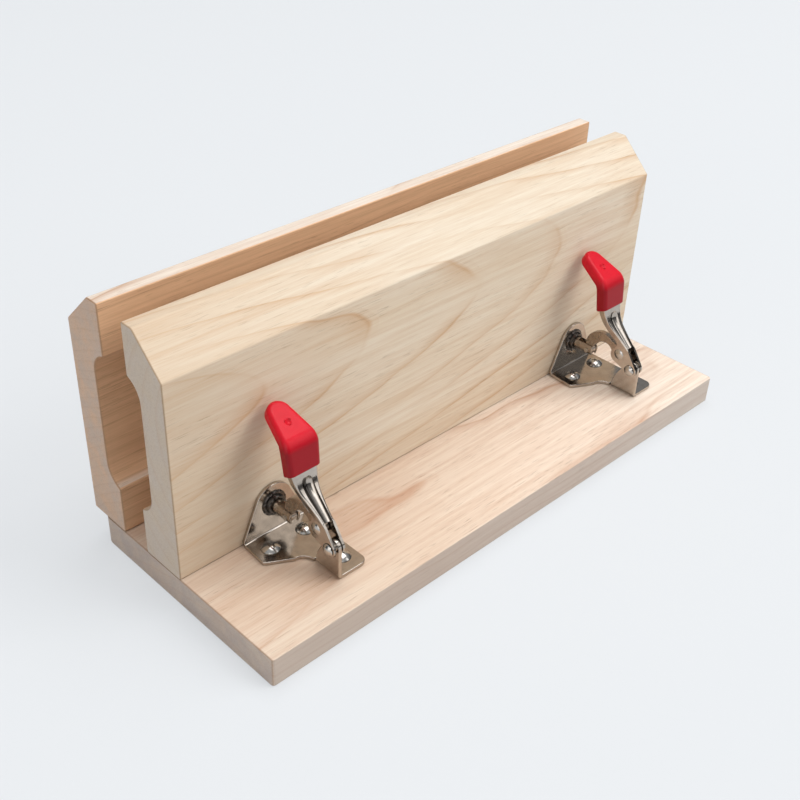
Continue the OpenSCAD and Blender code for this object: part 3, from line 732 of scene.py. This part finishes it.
bracket = flat("bracket", [(x, y, 0) for x, y in sole_outline()])
for outline in ([(x, 0, z) for x, z in flange_outline()],
                [(EAR_X, y, z) for y, z in ear_outline()]):
    sheet = flat("sheet", outline)
    pick(bracket)
    sheet.select_set(True)
    bpy.ops.object.join()
outward(bracket)
folds = folded(bracket, lambda p: abs(p.y) < 0.01 and abs(p.z) < 0.01, FOLD_AT_JAW_R)
folds += folded(bracket, lambda p: abs(p.x - EAR_X) < 0.01 and abs(p.z) < 0.01, FOLD_AT_EAR_R)
outward(bracket)
# The sheet thickens upwards, whichever way its faces came out
up = sum(f.normal.z * f.area for f in bracket.data.polygons)
modify(bracket, "SOLIDIFY", thickness=SHEET * MM, offset=1 if up > 0 else -1, use_even_offset=True)
outward(bracket)
combine(bracket, rod("bore", COLLAR_HOLE_R, 0, -4, 2, PLUNGER_H), "DIFFERENCE")
ease(bracket, 0.45, 3, 40)
print(folds, "edges on the bracket's folds")
fit_both(bracket, nickel, "plated_steel", "frame", "bracket")

# %% [markdown]
# ## The collar
# A dark turned bush, staked over on the flange. Its rim is dented where the punch spread it, so
# a ring of small cuts goes into the turned shape.

# %% Collar
COLLAR_R, BARREL_R, COLLAR_NECK_R, COLLAR_BORE_R = 8.5, 6.4, 6, 4.36
COLLAR_FRONT = SHEET + 3.4
DENTS = 8

flange = [(COLLAR_BORE_R, 0), (COLLAR_NECK_R, 0), (COLLAR_NECK_R, SHEET), (COLLAR_R, SHEET),
          (COLLAR_R, SHEET + 0.6), (COLLAR_R - 0.5, SHEET + 1.2), (BARREL_R + 0.2, SHEET + 1.3)]
barrel = [(BARREL_R, COLLAR_FRONT - 0.5), (BARREL_R - 0.5, COLLAR_FRONT),
          (COLLAR_BORE_R + 0.44, COLLAR_FRONT), (COLLAR_BORE_R, COLLAR_FRONT - 0.4)]
collar = turned("collar", flange + barrel, (0, 0, PLUNGER_H), (0, -1, 0), 72)
punch_profile = [(0, SHEET + 0.3), (1.1, SHEET + 0.3), (1.5, SHEET + 3), (0, SHEET + 3)]
for i in range(DENTS):
    turn = math.radians(360 / DENTS * (i + 0.5))
    out = COLLAR_R + 0.1
    place = (out * math.cos(turn), 0, PLUNGER_H + out * math.sin(turn))
    combine(collar, turned("punch", punch_profile, place, (0, -1, 0), 16), "DIFFERENCE")
ease(collar, 0.15, 2, 35)
fit_both(collar, smoked, "dark_steel", "frame", "collar")

# %% [markdown]
# ## Screws and rivets
# The bracket is held by domed screws with a cross recess, and the joints turn on rivets with
# low heads. Both are turned shapes. The cross is cut by two thin slabs.

# %% Bracket screws
BRACKET_SCREWS = ((-12.9, -14.5), (12.9, -14.5), (12.9, -47))


def dome(radius, height, start, steps=8):
    """The profile of a shallow dome, from its rim to its crown."""
    ball = (radius ** 2 + height ** 2) / (2 * height)
    lean = math.degrees(math.asin(min(1, radius / ball)))
    turns = [math.radians(lean * (1 - i / steps)) for i in range(steps + 1)]
    return [(ball * math.sin(t), start + height - ball + ball * math.cos(t)) for t in turns]


def pan_screw(x, y):
    shank, length, head = 2.1, 11, 5.5
    profile = [(0, -length), (shank, 1 - length), (shank, SHEET), (head, SHEET),
               (head + 0.3, SHEET + 0.35), *dome(head + 0.25, 2.6, SHEET + 0.4)]
    screw = turned("bracket_screws", profile, (x, y, 0), (0, 0, 1), 48)
    for turn in (35, 125):
        a = math.radians(turn)
        long = Vector((math.cos(a), math.sin(a), 0)) * 1.9
        wide = Vector((-math.sin(a), math.cos(a), 0)) * 0.4
        middle = Vector((x, y, SHEET + 1.5))
        corners = [middle + u * long + v * wide for u, v in ((1, 1), (-1, 1), (-1, -1), (1, -1))]
        combine(screw, slab("cross", corners, (0, 0, 3)), "DIFFERENCE")
    return screw


screws = [pan_screw(x, y) for x, y in BRACKET_SCREWS]
pick(screws[0])
for screw in screws[1:]:
    screw.select_set(True)
bpy.ops.object.join()
ease(screws[0], 0.12, 2, 40)
fit_both(screws[0], bright, "screw_steel", "frame", "bracket_screws")

# %% [markdown]
# A rivet is a short rod with a low dome at each end. The lever turns about one of them and
# carries the other, so the second one rides on the lever's body.

# %% Rivets
def rivet(name, at, shank, half, head=4.0, height=1.9):
    """half is half of the width between its heads."""
    right = dome(head, height, half, 6)
    left = [(r, -h) for r, h in reversed(right)]
    profile = [*left, (head, -half), (shank, -half), (shank, half), (head, half), *right]
    return ease(turned(name, profile, (0, *at), (1, 0, 0), 40), 0.12, 2, 50)


pivot_rivet = rivet("pivot_rivet", PIVOT, 2, 4.4)
fit_both(pivot_rivet, bright, "screw_steel", "frame", "pivot_rivet")
crank_rivet = rivet("crank_rivet", CRANK, 1.8, 4.1, 3.8, 1.2)
fit_both(crank_rivet, bright, "screw_steel", "SIDE_lever_body", "crank_rivet")

# %% [markdown]
# ## The lever
# A channel folded from thinner sheet: a curved web in front and two walls behind it that carry
# the rivets. It starts as a filled side outline, cut to its flared front outline. Its two long
# folds are rounded, and the space inside the channel is cut out. Cutting from a full block keeps
# the walls even where the flare and the bend meet, which thickening a thin shell wouldn't.

# %% The lever's places and directions, as (y, z) from its pivot
GRIP_RIM = (22.1, 40)
LOWER_ANGLE, UPPER_ANGLE, RUN_ANGLE = 83.5, 27.5, 41
BEND_R, DEPTH, WALL, WEB_RUN = 22.4, 5, 1.6, 15.6
BEND_FROM, BEND_TO = RUN_ANGLE - 90, LOWER_ANGLE - 90
HALF_LOW, HALF_TOP = 4.1, 9.3
FLARE_FROM, FLARE_H = 13, 29
PIVOT_EYE_R, CRANK_EYE_R = 5.2, 5.6


def heading(angle):
    return math.cos(math.radians(angle)), math.sin(math.radians(angle))


def inward(angle):
    """The direction from the front face into the lever, where it runs at this angle."""
    return heading(angle - 90)


LOW, UP, RUN = heading(LOWER_ANGLE), heading(UPPER_ANGLE), heading(RUN_ANGLE)
LOW_IN, UP_IN, RUN_IN = inward(LOWER_ANGLE), inward(UPPER_ANGLE), inward(RUN_ANGLE)


def along(start, *moves):
    """A point reached from start by (distance, direction) moves, in the side view."""
    y, z = start
    for distance, direction in moves:
        y += distance * direction[0]
        z += distance * direction[1]
    return y, z


BEND_TOP = along(GRIP_RIM, (1.4, LOW_IN))
BEND_AT = along(BEND_TOP, (-BEND_R, LOW_IN))
WEB_END = along(BEND_AT, (BEND_R, RUN_IN), (-WEB_RUN, RUN))
NOTCH = along(BEND_AT, (BEND_R + DEPTH, RUN_IN), (7.3 - WEB_RUN, RUN))
LOBE = (CRANK[0] - PIVOT[0] + 1.1, CRANK[1] - PIVOT[1] - 1.5)


def about_pivot(points):
    return [(PIVOT[0] + y, PIVOT[1] + z) for y, z in points]


print("the lever's bend is centred on", [round(v, 2) for v in BEND_AT], "from the pivot")

# %% [markdown]
# Three outlines make the lever: its side, its flared front, and the side of the space inside the
# channel. The last one is drawn far beyond the lever where it only has to clear it.

# %% The lever's outlines
def lever_side():
    eye = arc((0, 0), PIVOT_EYE_R, 147, 348, 28)
    lobe = arc(LOBE, CRANK_EYE_R, -80, 60, 16)
    back = arc(BEND_AT, BEND_R + DEPTH, BEND_FROM, BEND_TO, 16)
    front = arc(BEND_AT, BEND_R, BEND_TO, BEND_FROM, 16)
    tops = [along(back[-1], (3, LOW)), along(front[0], (3, LOW))]
    return [*eye, *lobe, NOTCH, *back, *tops, *front, WEB_END]


def lever_front(inset=0.0):
    """The flared outline seen from the front, drawn in by a wall's thickness for the channel."""
    steps = [i / 12 for i in range(13)]
    flare = [(HALF_LOW + (HALF_TOP - HALF_LOW) * t * t * (3 - 2 * t), FLARE_FROM + FLARE_H * t)
             for t in steps]
    half = [(HALF_LOW, -60), *flare, (HALF_TOP, 60)]
    half = [(x - inset, PIVOT[1] + z) for x, z in half]
    whole = half + [(-x, z) for x, z in reversed(half)]
    return slab("mask", [(x, -120, z) for x, z in whole], (0, 140, 0))


def channel_side():
    inner = arc(BEND_AT, BEND_R + WALL, BEND_TO, BEND_FROM, 16)
    end = along(WEB_END, (WALL, RUN_IN))
    beyond = [along(end, (-60, RUN_IN)), (-70, -60), (70, -60), (70, 60)]
    return [along(inner[0], (9, LOW)), *inner, end, *beyond]


# %% [markdown]
# The two long folds between the web and the walls are rounded before the channel is cut. They
# are found by place: both ends of such an edge lie on the web's front face, away from its middle.

# %% Lever
def from_bend(p):
    """A vertex in the side view, in millimetres from the centre of the lever's bend."""
    return p.y / MM - PIVOT[0] - BEND_AT[0], p.z / MM - PIVOT[1] - BEND_AT[1]


def on_front(p):
    """True where a vertex lies on the web's front face: its run, its bend or the part above."""
    slack = 0.15
    y, z = from_bend(p)
    on_run = y * RUN[0] + z * RUN[1] < 0.05 and abs(y * RUN_IN[0] + z * RUN_IN[1] - BEND_R) < slack
    on_bend = abs(math.hypot(y, z) - BEND_R) < slack
    above = z > -2.7 and abs(y * LOW_IN[0] + z * LOW_IN[1] - BEND_R) < slack
    return on_run or on_bend or above


def front_fold(e):
    a, b = (lever.data.vertices[i].co for i in e.vertices)
    return on_front(a) and on_front(b) and min(abs(a.x), abs(b.x)) > 4 * MM and a.x * b.x > 0


lever = along_x("lever", about_pivot(lever_side()), 30)
combine(lever, lever_front(), "INTERSECT")
outward(lever)
print("lever folds", select_parts(lever, front_fold, "EDGE"))
bpy.ops.mesh.bevel(offset=1.3 * MM, segments=5, affect="EDGES")
done()
channel = along_x("channel", about_pivot(channel_side()), 30)
combine(channel, lever_front(WALL), "INTERSECT")

# %% [markdown]
# A deep groove pressed into the web stiffens the lever. It starts blunt below the grip and
# narrows with the web to its lower end. The punch is a round bar that follows the web. The space
# inside the channel is cut last, and a thicker bar is first taken out of its cutter: what that
# leaves is the bulge on the web's back, so the wall stays whole.

# %% The bar that presses the groove
GROOVE_DEPTH, GROOVE_TOP_W, GROOVE_END_W = 2.9, 8.6, 5.4
GROOVE_START = 4


def swept(name, stations, corners=64):
    """A round bar through stations of (y, z, radius, angle it runs at)."""
    y, z, radius, angle = stations[0]
    bpy.ops.object.select_all(action="DESELECT")
    bpy.ops.mesh.primitive_circle_add(
        vertices=corners, radius=radius * MM, fill_type="NGON", location=(0, y * MM, z * MM),
        rotation=(math.radians(angle + 90), 0, 0))
    bar = bpy.context.active_object
    bar.name = name
    bpy.ops.object.transform_apply(location=True, rotation=True, scale=True)
    edit(bar)
    bpy.ops.mesh.select_all(action="SELECT")
    for last, (y, z, radius, angle) in zip(stations, stations[1:]):
        centre = (0, y * MM, z * MM)
        move = (0, (y - last[0]) * MM, (z - last[1]) * MM)
        bpy.ops.mesh.extrude_region_move(TRANSFORM_OT_translate={"value": move})
        bpy.ops.transform.rotate(value=math.radians(last[3] - angle), orient_axis="X",
                                 center_override=centre)
        bpy.ops.transform.resize(value=[radius / last[2]] * 3, center_override=centre)
    done()
    return outward(bar)


def web_point(s):
    """The place and running angle on the web's front, s millimetres below the bend's top."""
    bend_l = math.radians(LOWER_ANGLE - RUN_ANGLE) * BEND_R
    if s < bend_l:
        angle = LOWER_ANGLE - math.degrees(s / BEND_R)
        return along(BEND_AT, (BEND_R, inward(angle))), angle
    return along(BEND_AT, (BEND_R, RUN_IN), (bend_l - s, RUN)), RUN_ANGLE


def groove(extra, past):
    """The bar that presses the groove, thicker by extra and ending past the web's end.

    It sinks to its full depth over the first fifth of its length, and narrows all the way."""
    end = math.radians(LOWER_ANGLE - RUN_ANGLE) * BEND_R + WEB_RUN + past
    stations = []
    for i in range(25):
        t = i / 24
        width = GROOVE_TOP_W + (GROOVE_END_W - GROOVE_TOP_W) * t
        radius = (width ** 2 / 4 + GROOVE_DEPTH ** 2) / (2 * GROOVE_DEPTH)
        depth = GROOVE_DEPTH * math.sin(math.pi / 2 * min(1, 0.1 + t / 0.2))
        place, angle = web_point(GROOVE_START + (end - GROOVE_START) * t)
        y, z = about_pivot([along(place, (depth - radius, inward(angle)))])[0]
        stations.append((y, z, radius + extra, angle))
    return swept("groove", stations)


# %% [markdown]
# The groove's bottom and its left wall are darkened as painted shade. A value on each point of
# the mesh says how dark, worked out from how deep the point lies.

# %% The lever's groove
def sunk(p):
    """How far a point lies behind the web's front face, in millimetres."""
    y, z = from_bend(p)
    if y * RUN[0] + z * RUN[1] < 0:
        return y * RUN_IN[0] + z * RUN_IN[1] - BEND_R
    return math.hypot(y, z) - BEND_R


combine(channel, groove(WALL - 0.2, -0.1), "DIFFERENCE")
outward(channel)
combine(lever, channel, "DIFFERENCE")
combine(lever, groove(0, 1.5), "DIFFERENCE")
outward(lever)
# Painted shade on the groove's bottom and its left wall, from how deep each point lies
groove_shade = lever.data.attributes.new("painted_shade", "FLOAT", "POINT")
for vertex, value in zip(lever.data.vertices, groove_shade.data):
    in_groove = -3.9 * MM < vertex.co.x < 0.5 * MM
    value.value = max(0, min(1, (sunk(vertex.co) - 0.5) / 1.1)) if in_groove else 0
print("dark points", sum(1 for value in groove_shade.data if value.value > 0.5))
fit_both(lever, nickel, "plated_steel", "SIDE_lever_body", "lever")

# %% [markdown]
# ## The grip
# The lever's end was dipped in soft vinyl, so every edge of the grip is round. Its front is
# drawn as two flat faces that meet at the knee, Solidify gives it its thickness, and one wide
# bevel rounds all of it. The rim is cut afterwards, so it stays crisper than the rest. A small
# pit on top marks the hole in the steel underneath.

# %% The grip's front
GRIP_T, GRIP_EDGE, KNEE_R, RIM_DROP = 8.9, 2.9, 5.5, 2.5
RIM_HALF, KNEE_HALF, TIP_R = 11, 11.9, 7.5
LOWER_L, UPPER_L = 19.8, 28.9
KNEE = along(GRIP_RIM, (LOWER_L, LOW))
TIP = along(KNEE, (UPPER_L, UP))
# The grip is drawn this much too long at its rim, and cut to length later
SPARE = 8


def across(x, point):
    return (x, *about_pivot([point])[0])


def grip_faces():
    """The corners of the grip's lower and upper front faces."""
    start = along(GRIP_RIM, (-SPARE, LOW))
    half = RIM_HALF - (KNEE_HALF - RIM_HALF) * SPARE / LOWER_L
    centre = along(TIP, (-TIP_R, UP))
    reach = UPPER_L - TIP_R
    slope = math.acos(TIP_R / math.hypot(KNEE_HALF, reach)) - math.atan2(reach, KNEE_HALF)
    touch = math.degrees(slope)
    tip = arc((0, 0), TIP_R, touch, 180 - touch, 20)
    knee = [across(-KNEE_HALF, KNEE), across(KNEE_HALF, KNEE)]
    lower = [across(-half, start), across(half, start), *reversed(knee)]
    return lower, knee + [across(x, along(centre, (u, UP))) for x, u in tip]


lower_corners, upper_corners = grip_faces()
grip = flat("grip", lower_corners)
upper = flat("upper", upper_corners)
pick(grip)
upper.select_set(True)
bpy.ops.object.join()
outward(grip)
faces_front = grip.data.polygons[0].normal.y < 0
knee_z = across(0, KNEE)[2]
print("knee edges", folded(grip, lambda p: abs(p.z - knee_z) < 0.01, KNEE_R))
modify(grip, "SOLIDIFY", thickness=GRIP_T * MM, offset=-1 if faces_front else 1,
       use_even_offset=True)
ease(grip, GRIP_EDGE, 7, 28)

# %% [markdown]
# The rim isn't square to the grip: it drops towards the back. So the grip is cut by a tilted
# plane, and the new edge gets a much smaller bevel than the rest.

# %% The grip's rim
rim_back = along(GRIP_RIM, (GRIP_T, LOW_IN), (-RIM_DROP, LOW))
level = Vector((0, rim_back[0] - GRIP_RIM[0], rim_back[1] - GRIP_RIM[1])).normalized()
rim_at = Vector(across(0, GRIP_RIM)) * MM
down = level.cross(Vector((1, 0, 0))).normalized()
down = down if down.z < 0 else -down
edit(grip)
bpy.ops.mesh.select_all(action="SELECT")
bpy.ops.mesh.bisect(plane_co=rim_at, plane_no=down, use_fill=True, clear_outer=True)
done()
outward(grip)


def on_rim(e):
    return all(abs((grip.data.vertices[i].co - rim_at).dot(down)) < 0.01 * MM for i in e.vertices)


print("rim edges", select_parts(grip, on_rim, "EDGE"))
bpy.ops.mesh.bevel(offset=0.8 * MM, segments=4, affect="EDGES")
done()

# %% [markdown]
# The pit is a shallow cap of a ball. The ball's centre lies outside the grip, so only its lowest
# part cuts in, and a small bevel softens the mouth.

# %% The grip's pit
PIT_R, PIT_UP, PIT_OUT, PIT_X = 2.5, 13.5, 1.6, -0.6
pit_at = Vector(across(PIT_X, along(KNEE, (PIT_UP, UP), (-PIT_OUT, UP_IN)))) * MM
bpy.ops.object.select_all(action="DESELECT")
bpy.ops.mesh.primitive_uv_sphere_add(segments=32, ring_count=16, radius=PIT_R * MM,
                                     location=pit_at)
combine(grip, bpy.context.active_object, "DIFFERENCE")


def around_pit(e):
    """True for the edges of the pit's mouth, which lie on the ball and near the grip's face."""
    from_ball = [grip.data.vertices[i].co - pit_at for i in e.vertices]
    return all(abs(v.length - PIT_R * MM) < 0.05 * MM
               and v.dot(Vector((0, *UP_IN))) < (PIT_OUT + 0.05) * MM for v in from_ball)


print("pit edges", select_parts(grip, around_pit, "EDGE"))
bpy.ops.mesh.bevel(offset=0.5 * MM, segments=3, affect="EDGES")
done()
outward(grip)
fit_both(grip, red_vinyl, "red_pvc", "SIDE_lever_body", "grip")

# %% [markdown]
# ## The link and the plunger
# The link is a thick stamped arch that bridges the ear when the clamp closes. The plunger is a
# round rod whose end is slotted for the link.

# %% Link
LINK_T, LINK_EYE_R, LINK_FOOT_R = 4.2, 4.6, 4
LINK_INNER_R, LINK_OUTER_R = 7, 13.6


def link_side():
    """The arch, drawn level from the crank pin at (0, 0) and then turned to its place."""
    eye = arc((0, 0), LINK_EYE_R, 95, 280, 20)
    hollow = arc((14.6, 0), LINK_INNER_R, 188, 60, 20)
    foot = arc((LINK_L, 0), LINK_FOOT_R, 160, 375, 20)
    back = arc((17.1, 0.7), LINK_OUTER_R, 14, 146, 28)
    arch = [*eye, *hollow, (LINK_L - 6, 3.4), *foot, *back]
    c, s = math.cos(math.radians(LINK_ANGLE)), math.sin(math.radians(LINK_ANGLE))
    return [(CRANK[0] + c * y - s * z, CRANK[1] + s * y + c * z) for y, z in arch]


link = ease(along_x("link", link_side(), LINK_T), 0.5, 3, 40)
fit_both(link, satin, "plated_steel", "SIDE_link_body", "link")

# %% [markdown]
# The plunger's edges are eased in its turned profile, because a bevel after the slot is cut
# would trip over the thin slivers that a Boolean leaves.

# %% Plunger
PLUNGER_BACK, FORK_END = 26.5, 4
SLOT_HALF, SLOT_END, TAPPED_R = 2.4, 8.4, 3.02


def eased_end(end, way):
    """The profile at one end of the rod. way is 1 at its low end and -1 at its high end."""
    return [(0, end), (PLUNGER_R - 0.5, end), (PLUNGER_R - 0.15, end + 0.15 * way),
            (PLUNGER_R, end + 0.5 * way)]


profile = [*eased_end(-PLUNGER_BACK, 1), *reversed(eased_end(PIN_OUT + FORK_END, -1))]
plunger = turned("plunger", profile, (0, 0, PLUNGER_H), (0, -1, 0), 60)
slot_corners = [(x, y, 10) for x, y in ((-SLOT_HALF, -30), (SLOT_HALF, -30),
                                        (SLOT_HALF, -SLOT_END), (-SLOT_HALF, -SLOT_END))]
combine(plunger, slab("slot", slot_corners, (0, 0, 30)), "DIFFERENCE")
combine(plunger, rod("tapped", TAPPED_R, 0, 8.5, 27, PLUNGER_H), "DIFFERENCE")
outward(plunger)
fit_both(plunger, satin, "plated_steel", "sliding_jaw", "plunger")

# %% [markdown]
# ## Pieces that keep their drawn shape
# The hidden or tiny fasteners are right as drawn, and only get a real finish.

# %% Finishes for the drawn pieces
finishes = {"jaw_screws": bright}
for side in CLAMPS:
    for name, material in (("pivot_spacer", bright), ("plunger_pin", bright), ("tie_bolt", bright),
                           ("washer", bright), ("insert", brass)):
        finishes[f"{side}_{name}"] = material
for name, material in finishes.items():
    nodes[name].data.materials.clear()
    nodes[name].data.materials.append(material)
print("finished", len(finishes), "drawn pieces")

# %% [markdown]
# ## Floor, light and camera
# A pale table in soft daylight. The floor is drawn lighter for the camera and for reflections
# than it is for the light that bounces off it, so the background comes out near white and the
# object keeps its own tones. The camera stands where the photograph was taken from.

# %% Floor
bpy.ops.object.select_all(action="DESELECT")
bpy.ops.mesh.primitive_plane_add(size=12, location=(0, 0, -0.0002))
floor = bpy.context.active_object
floor.name = "floor"
material, tree, shader, place = start_material("pale table")
shader.inputs["Base Color"].default_value = (0.60, 0.615, 0.63, 1)
shader.inputs["Roughness"].default_value = 0.9
shader.inputs["Specular IOR Level"].default_value = 0.1
glow = node(tree, "ShaderNodeEmission", Color=(0.885, 0.912, 0.938, 1), Strength=1)
ray = tree.nodes.new("ShaderNodeLightPath")
seen = math_node(tree, "ADD", ray.outputs["Is Camera Ray"], ray.outputs["Is Glossy Ray"])
seen = math_node(tree, "ADD", seen, ray.outputs["Is Transmission Ray"])
both = tree.nodes.new("ShaderNodeMixShader")
tree.links.new(math_node(tree, "MULTIPLY", seen, 0.6), both.inputs[0])
tree.links.new(shader.outputs[0], both.inputs[1])
tree.links.new(glow.outputs[0], both.inputs[2])
tree.links.new(both.outputs[0], tree.nodes["Material Output"].inputs["Surface"])
floor.data.materials.append(material)
print("floor", round(floor.dimensions.x), "m wide")

# %% [markdown]
# The large window in front gives the shadows but would wash out the plated steel. So it is left
# out of reflections, and two strips that only gloss shows, one tall and one wide, take its place
# there. A card on the left brightens the sawn ends on that side.

# %% Lights
AIM = (0, 0, 0.08)


def softbox(name, place, size, power, aim=AIM, colour=(1, 1, 1)):
    data = bpy.data.lights.new(name, "AREA")
    data.shape = "RECTANGLE"
    data.size, data.size_y = size
    data.energy = power
    data.color = colour
    lamp = bpy.data.objects.new(name, data)
    bpy.context.scene.collection.objects.link(lamp)
    lamp.location = place
    lamp.rotation_euler = (Vector(aim) - Vector(place)).to_track_quat("-Z", "Y").to_euler()
    print(name, power, "W")
    return lamp


softbox("window above", (0.8, 0.2, 4.2), (3.6, 3.2), 122, aim=(0, 0, 0.05))
key = softbox("window in front", (2.7, -2.9, 2.7), (3.4, 2.8), 150, colour=(1, 0.99, 0.97))
key.visible_glossy = False
softbox("card on the left", (-3.4, -1.0, 1.1), (3.0, 2.4), 33)
for side, place, size, power in (("right", (2.35, -3.3, 2.5), (1.5, 3.0), 18),
                                 ("left", (-2.75, -2.75, 3.05), (3.2, 1.5), 22)):
    strip = softbox("strip on the " + side, place, size, power)
    strip.visible_diffuse = False

# %% [markdown]
# The room is a ramp on the world, dark below and pale above. Bright steel looks like steel
# because it mirrors both, even on a pale table.

# %% The room around
world = bpy.data.worlds.new("pale room")
bpy.context.scene.world = world
world.use_nodes = True
tree = world.node_tree
height = axis_of(tree, tree.nodes.new("ShaderNodeTexCoord").outputs["Generated"], "Z")
tones = ((0.0, (0.05, 0.05, 0.055)), (0.3, (0.14, 0.145, 0.15)), (0.8, (0.55, 0.57, 0.60)))
tree.links.new(ramp(tree, height, tones), tree.nodes["Background"].inputs[0])
tree.nodes["Background"].inputs[1].default_value = 0.9
print("room of", len(tones), "tones")

# %% [markdown]
# The camera's place, turn and focal length come from the straight edges of the board and the
# jaws: they are the ones at which the model's edges fall on those of the photograph.

# %% Camera
CAMERA_AT = (-0.4569, -0.4131, 0.4676)
CAMERA_TURN = (55.711, -1.922, -44.167)
SENSOR_MM, FOCAL_MM, SHIFT_Y = 36, 51.44, 0.0025

camera_data = bpy.data.cameras.new("camera")
camera = bpy.data.objects.new("camera", camera_data)
bpy.context.scene.collection.objects.link(camera)
camera_data.sensor_width = SENSOR_MM
camera_data.lens = FOCAL_MM
camera_data.shift_y = SHIFT_Y
camera_data.clip_start, camera_data.clip_end = 0.05, 50
camera.location = CAMERA_AT
camera.rotation_euler = [math.radians(a) for a in CAMERA_TURN]
bpy.context.scene.camera = camera
bpy.context.scene.view_settings.view_transform = "Standard"
print("camera", [round(v, 3) for v in camera.location], "focal length", FOCAL_MM, "mm")

# %% [markdown]
# ## Finish

# %% Finish
bpy.ops.object.select_all(action="DESELECT")
